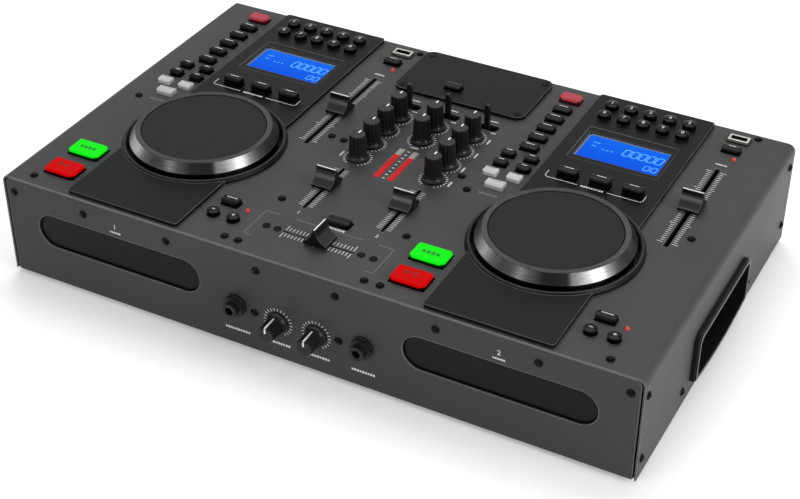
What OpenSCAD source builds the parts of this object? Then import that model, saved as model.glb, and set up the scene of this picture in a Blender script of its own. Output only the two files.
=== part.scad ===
// Two-deck disc player and mixer workstation.
// Millimetres, +Z up, the deck fronts face -Y. The origin is the middle of the footprint, on the
// plane that the feet stand on.

/* [Housing] */
// Width of the cover to the left of the left deck's keys
rim_l = 16.5; // [12:0.5:30]
// Width of the cover to the right of the right deck's fader
rim_r = 24; // [18:0.5:40]
// Depth from the front panel's face to the rear panel's face
body_d = 313; // [312:1:320]
// Height of the housing without its feet
body_h = 84; // [82:1:92]
// Thickness of the steel sheet of the cover and the base
sheet_t = 1.2; // [0.9:0.1:1.5]
// Outside radius of the bends along the cover's two upper edges
bend_r = 6; // [4:0.5:7]
// Thickness of the front panel
front_t = 1.5; // [1.2:0.1:2]
// Width of the seam between the front panel's upper edge and the cover
seam = 0.4; // [0.2:0.1:0.8]
// Width of the seams between the front panel's two ends and the cover
side_seam = 1.6; // [0.6:0.1:1.8]
// Height of the flanges that stiffen the base
flange_h = 10; // [7:1:11]
// Height of the rubber feet
foot_h = 4; // [3:0.5:8]
// Diameter of the rubber feet
foot_d = 18; // [14:1:24]

/* [Decks] */
// Room that a deck's keys take to the left of its plate's middle
deck_reach_l = 88.5; // [87.5:0.5:96]
// Room that a deck's fader and keys take to the right of its plate's middle
deck_reach_r = 86.5; // [86:0.5:95]
// Width of the mixer between the decks
mixer_w = 113; // [112:0.5:125]
// Width of a deck plate
deck_w = 94; // [92:1:96]
// Length of a deck plate, front to back
deck_l = 309; // [306:1:311]
// Thickness of a deck plate
deck_t = 3; // [2.5:0.5:4]
// Width of the rim of cover under a deck plate's edge
deck_seat = 4.5; // [3:0.5:5]

/* [Jog wheels] */
// Middle of a jog wheel, to the right of its deck plate's middle
jog_dx = 1.8; // [1:0.1:2.4]
// Middle of a jog wheel, front to back
jog_y = -49; // [-50:0.5:-48]
// Radius of the metal ring at its foot
jog_r = 56.3; // [50:0.1:60]
// Slope of the metal ring: how much smaller its flat top is than its foot
jog_slope = 4.7; // [3:0.1:6]
// Width of the ring's flat top
jog_rim_w = 4.4; // [3:0.2:5]
// Height of the ring's top over the cover
jog_h = 14; // [12.5:0.5:16]
// Gap between the metal ring and the wall of the well that it turns in
well_gap = 2.2; // [1.5:0.1:3]
// Depth of the well's floor under the cover's face
well_depth = 7; // [6:0.5:9]
// Width of the raised lip round the well, at its foot
lip_w = 4.3; // [3.5:0.1:5]
// Height of the lip over the cover
lip_h = 4.6; // [4.5:0.1:6]
// Radius of the jog wheel's spindle
spindle_r = 5; // [4:0.5:6]

/* [Displays] */
// Width of the display opening
lcd_w = 66; // [60:1:68]
// Length of the display opening, front to back
lcd_l = 35; // [32:1:37]
// Middle of the display opening, front to back
lcd_y = 80.2; // [79:0.2:81]
// Depth of the display's glass under the deck plate's face
lcd_drop = 1.4; // [0.8:0.2:2]
// Width of the shallow frame on the left and right of the opening
lcd_frame_x = 2.85; // [2:0.05:4]
// Width of the shallow frame in front of and behind the opening
lcd_frame_y = 6.4; // [4:0.1:7]

/* [Keys] */
// Gap between a key and the edge of its hole
key_gap = 0.4; // [0.3:0.1:0.6]
// Height of the keys over the cover
key_h = 4.2; // [3.5:0.1:5]
// Travel of a key
key_travel = 1.5; // [1:0.1:2]
// Chamfer at the two ends of a small key's top
key_chamfer = 0.8; // [0.5:0.1:1.2]
// Drop of a small key's arched top towards its front and back edges
key_arch = 1.5; // [0.8:0.1:1.8]
// Radius of the upright corners of the black keys
key_corner = 3; // [1:0.25:3.8]
// Radius of the upright corners of the white keys
white_corner = 1.6; // [0.8:0.2:3]
// Cut at the corners of the cue, play and eject keys
corner_cut = 3.2; // [1:0.2:5]
// Width and depth of the wide keys
wide_key = [14.6, 9];
// Width and depth of the small keys
small_key = [11, 8.5];
// Width and depth of the cue and play keys
big_key = [27, 18.5];
// Width and depth of the eject key
eject_key = [17.5, 11.5];
// Distance between the wide keys of a deck's side column
side_pitch = 15.65; // [15:0.05:15.8]
// Radius of the number keys
number_r = 5.3; // [4.8:0.1:5.6]
// Distance between the number keys, side to side
number_pitch = 15.8; // [15:0.1:16.5]
// Height of the number keys over the deck plate
number_h = 4.4; // [3.5:0.1:5.5]
// Width and depth of the loop keys
loop_key = [16, 9];
// Distance between the loop keys
loop_pitch = 25.4; // [24:0.1:26]
// Height of the loop keys over the deck plate
loop_h = 7; // [5:0.5:8]
// Radius of the round pitch bend keys
bend_key_r = 4.7; // [4.2:0.1:5.2]

/* [Faders] */
// Length of a pitch fader's slot
pitch_slot_l = 112.5; // [110:0.5:114]
// Width of a pitch fader's slot
pitch_slot_w = 4; // [3:0.5:5]
// Length of a line fader's slot
line_slot_l = 60; // [58:0.5:62]
// Width of a line fader's slot
line_slot_w = 3; // [2.5:0.5:4]
// Length of the crossfader's slot
cross_slot_l = 58; // [56:0.5:60]
// Width of the crossfader's slot
cross_slot_w = 2; // [1.8:0.1:2.6]
// Length of a fader cap along its ridge
cap_w = 16; // [14:0.5:17]
// Depth of a fader cap across its ridge
cap_d = 18; // [16:0.5:18.5]
// Height of a fader cap's ridge over the cover
cap_h = 15; // [13:0.5:17]
// Gap between a fader cap and the cover
cap_gap = 1.2; // [0.8:0.1:1.8]

/* [Knobs and switches] */
// Height of the mixer knobs over the cover
knob_h = 21; // [18:0.5:24]
// Radius of the mixer knobs at their foot
knob_r = 6.9; // [6.5:0.1:7.3]
// Radius of the mixer knobs at their top
knob_top_r = 6.2; // [5.6:0.1:6.4]
// Number of flutes round a mixer knob
flutes = 14; // [10:1:18]
// Distance between the rows of mixer knobs
knob_pitch = 21.9; // [21.3:0.1:22.2]
// Radius of a control's shaft
shaft_r = 3; // [2.6:0.1:3.2]
// Gap round a shaft or spindle in its bush
running_gap = 0.05; // [0.03:0.01:0.08]
// Height of the toggle levers over the cover
lever_h = 20; // [16:1:22]
// Radius of the flared foot of every knob
knob_foot_r = 8.6; // [8:0.1:9]
// Reach of a front knob in front of the panel
front_knob_h = 17.5; // [16:0.5:19]

/* [Disc trays] */
// Width of the tray opening in the front panel
door_w = 142; // [140:0.5:144]
// Height of the tray opening
door_h = 28; // [25:0.5:30]
// Height of the trays' middle over the housing's underside
door_z = 45.5; // [44:0.5:46.5]
// Gap round the door in its opening
door_gap = 0.8; // [0.5:0.1:1.2]
// Depth of the door's face behind the front panel's face
door_recess = 2; // [1:0.5:3]
// Width of a tray behind its door
tray_w = 128; // [126:1:132]
// Length of a tray
tray_l = 178; // [176:1:186]
// Radius of the well for a 12 cm disc
disc_r = 60.5; // [60.2:0.1:61]

/* [Sockets and handles] */
// Radius of the bore for a 6.35 mm plug
jack_r = 3.2; // [3.19:0.01:3.25]
// Reach of a front jack's nose in front of the panel
jack_nose = 10; // [8:0.5:11]
// Radius of a phono socket's sleeve
phono_r = 4.15; // [4.1:0.01:4.2]
// Length of a phono socket's sleeve
phono_l = 8; // [7:0.5:9]
// Length of a carrying handle, front to back
handle_l = 109.5; // [106:0.5:113]
// Height of a carrying handle
handle_h = 43.5; // [41:0.5:45]
// Width of a handle's rim
handle_rim = 3.6; // [3.2:0.2:5]
// Reach of a handle's rim out of the side wall
handle_out = 4.6; // [4:0.1:6]
// Room between the finger recess and the disc drive behind it
handle_room = 10; // [6:0.5:14]

/* [Hidden] */
$fn = 48;
over = 1;                         // how far a cutter runs past the face it cuts
seat_gap = 0.3;                   // gap where one piece sits on or in another
top_z = foot_h + body_h;          // the cover's upper face
under = -sheet_t;                 // the cover's underside, seen from its upper face
cover_lip = 0.3;                  // how far the cover's front edge stands before the panel
front_y = -body_d / 2;
back_y = body_d / 2;
deck_pitch = deck_reach_r + mixer_w + deck_reach_l;
body_w = rim_l + deck_reach_l + deck_pitch + deck_reach_r + rim_r;
side_x0 = body_w / 2;
deck_a_x = -side_x0 + rim_l + deck_reach_l;
deck_x = [deck_a_x, deck_a_x + deck_pitch];
deck_y = 0;
mixer_x = deck_a_x + deck_reach_r + mixer_w / 2;
well_r = jog_r + well_gap;
lip_r = well_r + lip_w;
jog_top_r = jog_r - jog_slope;
drive_wall = 3;
drive_gap = 0.5;
drive_half = tray_w / 2 + drive_gap + drive_wall;
tray_x = [deck_x[0] - 6, deck_x[1] + 10];
handle_depth = side_x0 + tray_x[0] - drive_half - handle_room;

// Boards under the keys, seen from the cover's upper face
flange_t = 1.2;                   // thickness of the lip that keeps a key in its hole
flange_w = 1.1;                   // how far that lip reaches past the key
board_t = 1.6;
board_top = -(sheet_t + seat_gap + flange_t + key_travel + 3.2);
plunger_r = 2;
plunger_gap = key_travel + 0.2;   // gap between a plunger and its switch

// Key places from the middle of their deck plate
side_x = -65.3;
side_keys = [for (i = [0:4]) [side_x, 119.6 - i * side_pitch, wide_key]];
small_keys = [for (x = [-75.6, -57.1], y = [42.3, 27.8]) [x, y, small_key]];
white_keys = [[-76.8, 13.7, small_key], [-57.8, 13.7, small_key], [-66.5, -0.6, wide_key]];
cue_y = -102;
play_y = -131;
big_x = -67.3;
eject_at = [-65.7, 137.5];
number_keys = [for (i = [-2:2], y = [138.2, 122.2]) [i * number_pitch, y]];
loop_keys = [for (i = [-1:1]) [2.2 + i * loop_pitch, 31.2, loop_key]];
tempo_key = [64.6, -110, wide_key];
bend_keys = [[60.4, -127.2], [77, -127.2]];
usb_key = [69.8, 125.2, wide_key];
usb_at = [70, 143];
usb_bezel = [18, 12];
usb_hole = [12.5, 5.12];          // opening of a type A socket
usb_depth = 12;
usb_wall = 1.2;
led_r = 1.5;
leds = [[75.5, 114], [80.4, -113.6]];

// Faders
pitch_dx = 69.3;
pitch_slot_y = 41.2;
pitch_rest_y = 39;
line_x = [mixer_x - 30.2, mixer_x + 33];
line_slot_y = -61;
line_rest_y = -57;
cross_slot_x = mixer_x + 0.5;
cross_rest_x = cross_slot_x + 1.5;
cross_y = -122.3;
stem_l = 5;
stem_t = 1.2;
body_top = under - seat_gap;      // top of the pots and fader housings under the cover

// Mixer section
knob_x = [mixer_x - 28.2, mixer_x + 34.8];
centre_knob_x = mixer_x + 2.8;
knob_y0 = 51.2;
toggle_x = [mixer_x - 29.5, mixer_x + 4.3, mixer_x + 37.8];
toggle_y = 71;
toggle_slot = [18.5, 9];
slot_dx = 1;                      // middle of a toggle's slot, to the right of its lever
lever_drop = 9;                   // depth of a lever's pin under the cover's face
lever_pin_r = 1.2;
meter_x = [mixer_x - 4.2, mixer_x + 7.3];
meter_y = -9.5;
meter_size = [4.5, 43];
plate_at = [mixer_x + 2, 121.7];
plate_size = [mixer_w, 65.4];
plate_t = 3;
plate_key = [mixer_x - 8.8, 107, wide_key];
start_key = [mixer_x + 2.5, -96, [18.5, 9.5]];

// Front panel, x from the centre line and z from the housing's underside
jack_x = [mixer_x - 48, mixer_x + 54];
jack_z = 35.5;
front_knob_x = [mixer_x - 13.8, mixer_x + 17];
front_knob_z = 31.8;
front_screw_z = body_h - 13;
front_screws = concat([for (x = [-side_x0 + 9, deck_a_x - 33.5, deck_a_x + 38.5, mixer_x - 30, mixer_x + 33,
                                 deck_x[1] - 36, deck_x[1] + 38, side_x0 - 9.5]) [x, front_screw_z]],
                      [for (x = [mixer_x - 33, mixer_x + 35]) [x, front_knob_z + 1.7]]);

// Rear panel
phono_pitch = 40;
phono_x = [for (i = [-2, -1, 1, 2]) -10 + i * phono_pitch];
phono_z = [26, 50];
ground_x = -10;
inlet_x = side_x0 - 45;
inlet_z = 40;
inlet_hole = [24, 16];
inlet_flange = [12, 9];           // how much larger the inlet's flange is than its hole
rocker_size = [12, 19];
rocker_x = inlet_x - (inlet_hole[0] + inlet_flange[0] + rocker_size[0]) / 2 - 13;
rocker_tilt = 8;
rear_screws = concat([for (x = [10 - side_x0, side_x0 - 10], z = [14, body_h - 14]) [x, z]],
                     [for (x = [-70, 50]) [x, 60]]);

// Sides, y from the middle and z from the housing's underside
handle_y = -4.7;
handle_z = 29.7;
side_screws = [[front_y + 6.5, body_h - 16], [front_y + 6.5, 15], [back_y - 10.5, body_h - 14],
    [back_y - 9.5, 17], [handle_y - handle_l / 2 - 14.5, 14], [handle_y + handle_l / 2 + 15, 16]];
handle_arc = 327;                 // radius of the curved lower edge of a handle

// Top screws on the cover
front_row = front_y + 9.5;
top_screws = [for (p = [[22 - side_x0, front_row], [22 - side_x0, -15], [mixer_x - 60.5, front_row],
    [mixer_x - 49.5, front_row], [mixer_x - 49.5, -88], [mixer_x - 60.5, 3], [mixer_x - 49.5, 2],
    [mixer_x - 60.5, back_y - 7.5], [mixer_x + 51.5, -88], [mixer_x + 50.5, front_row],
    [mixer_x + 62.5, front_row], [mixer_x + 62.5, -15], [mixer_x + 51.5, -1],
    [side_x0 - 28, front_row], [side_x0 - 28, 2], [side_x0 - 28, back_y - 5.5]]) p];
flush_screws = [for (x = [-42, -33, 34, 43.5]) [cross_slot_x + x, cross_y]];
plate_screw_in = 6.2;             // distance of the plate's screws from its edges
plate_screws = [for (x = [-1, 1], y = [-1, 1])
    plate_at + [x * (plate_size[0] / 2 - plate_screw_in), y * (plate_size[1] / 2 - plate_screw_in)]];
screw_hole_r = 1.7;

// ---- frames of the four faces: local Z points out of the face ----

module on_top(x = 0, y = 0) { translate([x, y, top_z]) children(); }
module on_front(x, z) { translate([x, front_y, foot_h + z]) rotate([90, 0, 0]) children(); }
module on_back(x, z) { translate([x, back_y, foot_h + z]) rotate([90, 0, 180]) children(); }
module on_side(y, z) { translate([body_w / 2, y, foot_h + z]) rotate([90, 0, 90]) children(); }

// ---- outlines ----

module round_rect(size, r) {
    square([size[0] - 2 * r, size[1]], center = true);
    square([size[0], size[1] - 2 * r], center = true);
    for (x = [-1, 1], y = [-1, 1])
        translate([x * (size[0] / 2 - r), y * (size[1] / 2 - r)]) circle(r);
}

// A slot with round ends, from its two overall sizes
module stadium(size) {
    r = min(size) / 2;
    square([size[0] - 2 * r, size[1]], center = true);
    for (x = [-1, 1]) translate([x * (size[0] / 2 - r), 0]) circle(r);
}

// The housing's end view: straight sides, two round upper corners, its foot at 0
module housing_outline(w, h, r) {
    translate([-w / 2, 0]) square([w, h - r]);
    translate([-w / 2 + r, 0]) square([w - 2 * r, h]);
    for (x = [-1, 1]) translate([x * (w / 2 - r), h - r]) circle(r);
}

// The handle's outline: a rounded rectangle whose lower edge sags in an arc
module handle_outline(inset) {
    intersection() {
        round_rect([handle_l - 2 * inset, handle_h - 2 * inset], 7 - inset / 2);
        translate([0, -handle_h / 2 + handle_arc]) circle(handle_arc - inset, $fn = 96);
    }
}

// ---- keys ----

// A block with its top edges chamfered and its upright corners cut off, standing on z = 0
module chamfered_block(size, h, c) {
    x = size[0] / 2;
    y = size[1] / 2;
    k = corner_cut;
    intersection() {
        linear_extrude(h) polygon([[-x, -y + k], [-x + k, -y], [x - k, -y], [x, -y + k],
            [x, y - k], [x - k, y], [-x + k, y], [-x, y - k]]);
        translate([0, y, 0]) rotate([90, 0, 0]) linear_extrude(size[1])
            polygon([[-x, 0], [x, 0], [x, h - c], [x - c, h], [-x + c, h], [-x, h - c]]);
        translate([-x, 0, 0]) rotate([90, 0, 90]) linear_extrude(size[0])
            polygon([[-y, 0], [y, 0], [y, h - c], [y - c, h], [-y + c, h], [-y, h - c]]);
    }
}

// A small key's block: rounded upright corners, chamfered ends and a top arched front to back
module arched_block(size, h, r) {
    x = size[0] / 2;
    y = size[1] / 2;
    c = key_chamfer;
    arch = (y * y + key_arch * key_arch) / (2 * key_arch);
    intersection() {
        linear_extrude(h) round_rect(size, r);
        translate([0, y, 0]) rotate([90, 0, 0]) linear_extrude(size[1])
            polygon([[-x, 0], [x, 0], [x, h - c], [x - c, h], [-x + c, h], [-x, h - c]]);
        union() {
            translate([-x, 0, h - arch]) rotate([0, 90, 0]) cylinder(r = arch, h = size[0]);
            translate([-x, -y, 0]) cube([size[0], size[1], h - 2 * key_arch]);
        }
    }
}

// What a key has under its panel: a lip that keeps it in, and a plunger down to its switch
module key_foot(size, panel) {
    lip_top = panel - seat_gap;
    translate([0, 0, lip_top - flange_t / 2])
        cube([size[0] + 2 * flange_w, size[1] + 2 * flange_w, flange_t], center = true);
    translate([0, 0, board_top + plunger_gap])
        cylinder(r = plunger_r, h = lip_top - board_top - plunger_gap - flange_t / 2);
}

// A wide key with cut corners in the cover
module big_key_in(at, h, c) {
    on_top(at[0], at[1]) {
        translate([0, 0, under - seat_gap - flange_t])
            chamfered_block(at[2], h - under + seat_gap + flange_t, c);
        key_foot(at[2], under);
    }
}

// A small key in a panel whose underside is at panel, over the cover's face
module box_key(at, h, r = key_corner, panel = under) {
    on_top(at[0], at[1]) {
        translate([0, 0, panel - seat_gap - flange_t])
            arched_block(at[2], h - panel + seat_gap + flange_t, r);
        key_foot(at[2], panel);
    }
}

// A round key with a domed top
module round_key(x, y, r, h, panel) {
    dome = 3.2 * r;
    on_top(x, y) {
        intersection() {
            translate([0, 0, panel - seat_gap - flange_t])
                cylinder(r = r, h = h - panel + seat_gap + flange_t + over);
            translate([0, 0, h - dome]) sphere(dome);
        }
        key_foot([2 * r, 2 * r] * 0.8, panel);
    }
}

module key_hole(at) {
    translate([at[0], at[1]]) square(at[2] + 2 * [key_gap, key_gap], center = true);
}

function shifted(list, x) = [for (k = list) [k[0] + x, k[1], k[2]]];

// ---- housing ----

module deck_opening() {
    translate([0, deck_y]) square([deck_w, deck_l] - 2 * [deck_seat, deck_seat], center = true);
    translate([jog_dx, jog_y]) circle(well_r + 2);
}

// Everything that is cut in the cover's top for one deck
module deck_cutouts() {
    deck_opening();
    for (k = concat(side_keys, small_keys, white_keys, [tempo_key, usb_key,
         [big_x, cue_y, big_key], [big_x, play_y, big_key], [eject_at[0], eject_at[1], eject_key]]))
        key_hole(k);
    for (k = bend_keys) translate(k) circle(bend_key_r + key_gap);
    for (p = leds) translate(p) circle(led_r + seat_gap);
    translate(usb_at) square(usb_hole + 2 * [usb_wall + seat_gap, usb_wall + seat_gap], center = true);
    translate([pitch_dx, pitch_slot_y]) square([pitch_slot_w, pitch_slot_l], center = true);
}

function mixer_knob_places() = concat([for (x = knob_x, i = [0:3]) [x, knob_y0 - i * knob_pitch]],
    [for (i = [0, 1]) [centre_knob_x, knob_y0 - i * knob_pitch]]);

bush_r = shaft_r + 0.7;

module mixer_cutouts() {
    for (p = mixer_knob_places()) translate(p) circle(bush_r + seat_gap);
    for (x = line_x) translate([x, line_slot_y]) square([line_slot_w, line_slot_l], center = true);
    translate([cross_slot_x, cross_y]) square([cross_slot_l, cross_slot_w], center = true);
    for (x = toggle_x) translate([x + slot_dx, toggle_y]) stadium(toggle_slot);
    for (x = meter_x) translate([x, meter_y]) square(meter_size + [0.4, 0.4], center = true);
    key_hole(plate_key);
    key_hole(start_key);
}

module top_cover() {
    color("dimgray") difference() {
        translate([0, back_y, foot_h]) rotate([90, 0, 0])
            linear_extrude(body_d + cover_lip) difference() {
                housing_outline(body_w, body_h, bend_r);
                translate([0, -over])
                    housing_outline(body_w - 2 * sheet_t, body_h - sheet_t + over, bend_r - sheet_t);
            }
        on_top() translate([0, 0, under - over]) linear_extrude(sheet_t + 2 * over) {
            for (x = deck_x) translate([x, 0]) deck_cutouts();
            mixer_cutouts();
        }
        on_top() for (p = concat(top_screws, flush_screws, plate_screws))
            translate([p[0], p[1], under - over]) cylinder(r = screw_hole_r, h = sheet_t + 2 * over);
        for (s = [0, 1]) mirror([s, 0, 0]) {
            on_side(handle_y, handle_z) translate([0, 0, under - over])
                linear_extrude(sheet_t + 2 * over) handle_outline(handle_rim - 1.5 - seat_gap);
            for (p = side_screws) on_side(p[0], p[1]) translate([0, 0, under - over])
                cylinder(r = screw_hole_r, h = sheet_t + 2 * over);
        }
    }
}

// Bottom, side flanges and rear panel of one bent sheet
module base_tray() {
    w = body_w - 2 * sheet_t - 2 * seat_gap;
    y0 = front_y + front_t + seat_gap;
    color("dimgray") difference() {
        union() {
            translate([-w / 2, y0, foot_h]) cube([w, back_y - y0, sheet_t]);
            for (s = [0, 1]) mirror([s, 0, 0])
                translate([w / 2 - sheet_t, y0 + flange_h, foot_h])
                    cube([sheet_t, back_y - y0 - flange_h, flange_h]);
            translate([0, back_y, foot_h]) rotate([90, 0, 0]) linear_extrude(sheet_t)
                housing_outline(w, body_h - sheet_t - seat_gap, bend_r - sheet_t);
        }
        for (x = phono_x, z = phono_z) on_back(x, z) rear_hole(phono_r + 1);
        on_back(ground_x, phono_z[0]) rear_hole(3);
        on_back(inlet_x, inlet_z) rear_cut(inlet_hole + [4.6, 4.6]);
        on_back(rocker_x, inlet_z) rear_cut(rocker_size + [3.6, 3.6]);
        for (p = rear_screws) on_back(p[0], p[1]) rear_hole(screw_hole_r);
        for (i = [0:11]) on_back(-200 + i * 6, 44) rear_cut([2.4, 28]);
    }
}

module rear_hole(r) { translate([0, 0, -sheet_t - over]) cylinder(r = r, h = sheet_t + 2 * over); }
module rear_cut(size) {
    translate([0, 0, -sheet_t - over]) linear_extrude(sheet_t + 2 * over) square(size, center = true);
}

module front_panel() {
    lip = 12;
    color("dimgray") difference() {
        union() {
            translate([0, front_y + front_t, foot_h]) rotate([90, 0, 0]) linear_extrude(front_t)
                housing_outline(body_w - 2 * (sheet_t + side_seam), body_h - sheet_t - seam,
                    bend_r - sheet_t - seam);
            translate([-body_w / 2 + 2 * bend_r, front_y, foot_h + sheet_t + seat_gap])
                cube([body_w - 4 * bend_r, front_t + lip, front_t]);
            translate([-body_w / 2 + 2 * bend_r, front_y, top_z + under - seam - front_t])
                cube([body_w - 4 * bend_r, front_t + lip, front_t]);
        }
        for (x = tray_x) on_front(x, door_z) front_cut() stadium([door_w, door_h]);
        for (x = jack_x) on_front(x, jack_z) front_cut() circle(6.1);
        for (x = front_knob_x) on_front(x, front_knob_z) front_cut() circle(bush_r + seat_gap);
        for (p = front_screws) on_front(p[0], p[1]) front_cut() circle(screw_hole_r);
        for (p = concat(top_screws, flush_screws, plate_screws)) on_top(p[0], p[1])
            translate([0, 0, under - 8]) cylinder(r = screw_hole_r, h = 8);
    }
}

module front_cut() { translate([0, 0, -front_t - over]) linear_extrude(front_t + 2 * over) children(); }

module feet() {
    color([0.1, 0.1, 0.1]) for (x = [-1, 1], y = [-1, 1])
        translate([x * (side_x0 - 45), y * (body_d / 2 - 40), 0]) difference() {
            rotate_extrude() polygon([[0, 0], [foot_d / 2 - 1, 0], [foot_d / 2, 1],
                [foot_d / 2, foot_h], [0, foot_h]]);
            translate([0, 0, -over]) cylinder(r = foot_d / 4, h = 1 + over);
        }
}

// A moulded carrying handle: a raised rim and a finger cup behind the side wall
module carry_handles() {
    cup = handle_rim - 1.5;
    color([0.12, 0.12, 0.12]) for (s = [0, 1]) mirror([s, 0, 0]) on_side(handle_y, handle_z)
        difference() {
            union() {
                linear_extrude(handle_out - 1) handle_outline(0);
                translate([0, 0, handle_out - 1]) linear_extrude(1) handle_outline(0.8);
                translate([0, 0, -handle_depth - 2]) linear_extrude(handle_depth + 2)
                    handle_outline(cup);
            }
            translate([0, 0, -handle_depth]) linear_extrude(handle_depth + handle_out + over)
                handle_outline(handle_rim);
        }
}

// ---- decks ----

// The plate with the lip, the well and the bush of its jog wheel in one moulding
module deck_plate(x) {
    wall = 1.5;
    floor_t = 2;
    hub_r = spindle_r + 4;
    bore_r = spindle_r + running_gap;
    color([0.13, 0.13, 0.14]) difference() {
        union() {
            difference() {
                on_top(x, deck_y) linear_extrude(deck_t) round_rect([deck_w, deck_l], 2.5);
                on_top(x + jog_dx, jog_y) translate([0, 0, -over])
                    cylinder(r = well_r + wall / 2, h = deck_t + 2 * over);
            }
            on_top(x + jog_dx, jog_y) rotate_extrude($fn = 96) polygon([
                [bore_r, -well_depth - 9], [hub_r, -well_depth - 9], [hub_r, -well_depth - floor_t],
                [well_r + wall, -well_depth - floor_t], [well_r + wall, 0], [lip_r, 0],
                [lip_r - 0.5, 2.4], [lip_r - 2, lip_h], [well_r + 1.1, lip_h], [well_r, lip_h - 1],
                [well_r, -well_depth], [hub_r, -well_depth], [hub_r, -well_depth + 3.5],
                [bore_r, -well_depth + 3.5]]);
        }
        on_top(x, lcd_y) {
            translate([0, 0, -over]) linear_extrude(deck_t + 2 * over)
                square([lcd_w, lcd_l], center = true);
            translate([0, 1, deck_t - 0.5]) linear_extrude(over)
                round_rect([lcd_w, lcd_l] + 2 * [lcd_frame_x, lcd_frame_y], 1.5);
        }
        on_top(x, 0) translate([0, 0, -over]) linear_extrude(deck_t + 2 * over) {
            for (k = loop_keys) key_hole(k);
            for (p = number_keys) translate(p) circle(number_r + key_gap);
        }
    }
}

module deck_plates() { for (x = deck_x) deck_plate(x); }

module displays() {
    glass = [lcd_w, lcd_l] - 2 * [seat_gap, seat_gap];
    color([0.1, 0.35, 0.95]) for (x = deck_x) on_top(x, lcd_y) {
        translate([0, 0, -seat_gap - over]) linear_extrude(deck_t - lcd_drop + seat_gap + over)
            square(glass, center = true);
        translate([0, 0, board_top]) linear_extrude(-board_top - seat_gap)
            square([lcd_w + 6, lcd_l + 5], center = true);
    }
}

// Metal ring, web, spindle and encoder disc of a jog wheel, turned in one piece
module jog_wheel(x) {
    web = jog_h - 3.4;
    skirt_r = jog_r - 1.4;
    collar = -well_depth + 3.5 + seat_gap;
    disc = -well_depth - 9 - seat_gap;
    color("silver") on_top(x + jog_dx, jog_y) rotate_extrude($fn = 96) polygon([
        [0, web], [jog_top_r - jog_rim_w, web], [jog_top_r - jog_rim_w, jog_h - 0.4],
        [jog_top_r - jog_rim_w + 0.4, jog_h], [jog_top_r - 0.4, jog_h], [jog_top_r, jog_h - 0.4],
        [jog_r, 6.6], [jog_r, 5.4], [skirt_r, 5], [skirt_r, -well_depth + 3],
        [skirt_r - 1.6, -well_depth + 3], [skirt_r - 1.6, web - 2.6], [spindle_r + 3, web - 2.6],
        [spindle_r + 3, collar], [spindle_r, collar], [spindle_r, disc], [20, disc],
        [20, disc - 1.2], [0, disc - 1.2]]);
}

module jog_cap(x) {
    r = jog_top_r - jog_rim_w - 0.2;
    web = jog_h - 3.4;
    color([0.2, 0.2, 0.21]) on_top(x + jog_dx, jog_y) rotate_extrude($fn = 96)
        polygon([[0, web], [r, web], [r, jog_h - 0.9], [r - 0.5, jog_h - 0.5], [0, jog_h - 0.5]]);
}

// ---- faders ----

// A cap with a ridge along X, concave flanks and a stem that passes through its slot
module fader_cap(stem) {
    foot = 2.4;
    ridge = 2.2;
    half = cap_d / 2;
    z0 = cap_gap + foot;
    chord = [half - ridge / 2, cap_h - z0];
    length = norm(chord);
    flank_r = 0.93 * length;
    reach = sqrt(flank_r * flank_r - length * length / 4);
    cx = (half + ridge / 2) / 2 + chord[1] / length * reach;
    cz = (cap_h + z0) / 2 + chord[0] / length * reach;
    difference() {
        translate([-cap_w / 2, 0, 0]) rotate([90, 0, 90]) linear_extrude(cap_w) difference() {
            polygon([[-half, cap_gap], [half, cap_gap], [half, z0], [ridge / 2, cap_h],
                     [-ridge / 2, cap_h], [-half, z0]]);
            for (s = [-1, 1]) translate([s * cx, cz]) circle(flank_r);
        }
        translate([-cap_w / 2 - over, -0.5, cap_h - 0.3]) cube([cap_w + 2 * over, 1, over]);
    }
    translate([-stem[0] / 2, -stem[1] / 2, body_top - 6])
        cube([stem[0], stem[1], 6 - body_top + cap_gap + foot / 2]);
}

module pitch_fader(x) {
    color([0.1, 0.1, 0.1]) on_top(x + pitch_dx, pitch_rest_y) fader_cap([stem_t, stem_l + 1]);
}

module line_fader(i) {
    color([0.1, 0.1, 0.1]) on_top(line_x[i], line_rest_y) fader_cap([stem_t, stem_l]);
}

module crossfader() {
    color([0.1, 0.1, 0.1]) on_top(cross_rest_x, cross_y) rotate([0, 0, 90]) fader_cap([1, stem_l]);
}

// ---- knobs and levers ----

// A fluted knob on a flared foot, its pointer towards Y and its shaft down to drop
module knob(h, drop) {
    skirt = 0.6;
    lean = atan((knob_r - knob_top_r) / (h - 5));
    difference() {
        rotate_extrude() polygon([[0, skirt], [knob_foot_r, skirt], [knob_foot_r, 1.8],
            [knob_foot_r - 0.9, 2.6], [knob_r + 0.2, 3.8], [knob_r, 5], [knob_top_r, h - 0.6],
            [knob_top_r - 0.6, h], [0, h]]);
        for (i = [0:flutes - 1]) rotate([0, 0, (i + 0.5) * 360 / flutes])
            translate([knob_r + 0.45, 0, 5]) rotate([0, -lean, 0])
                cylinder(r = 1, h = h, $fn = 24);
        translate([-0.6, 1.9, h - 0.4]) cube([1.2, knob_top_r, over]);
    }
    translate([0, 0, -drop]) cylinder(r = shaft_r, h = drop + skirt + 1);
}

module mixer_knob(at) {
    color([0.13, 0.13, 0.13]) on_top(at[0], at[1]) knob(knob_h, 7 - body_top);
}

module front_knob(x) {
    color([0.1, 0.1, 0.1]) on_front(x, front_knob_z) knob(front_knob_h, front_t + seat_gap + 7);
}

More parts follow.
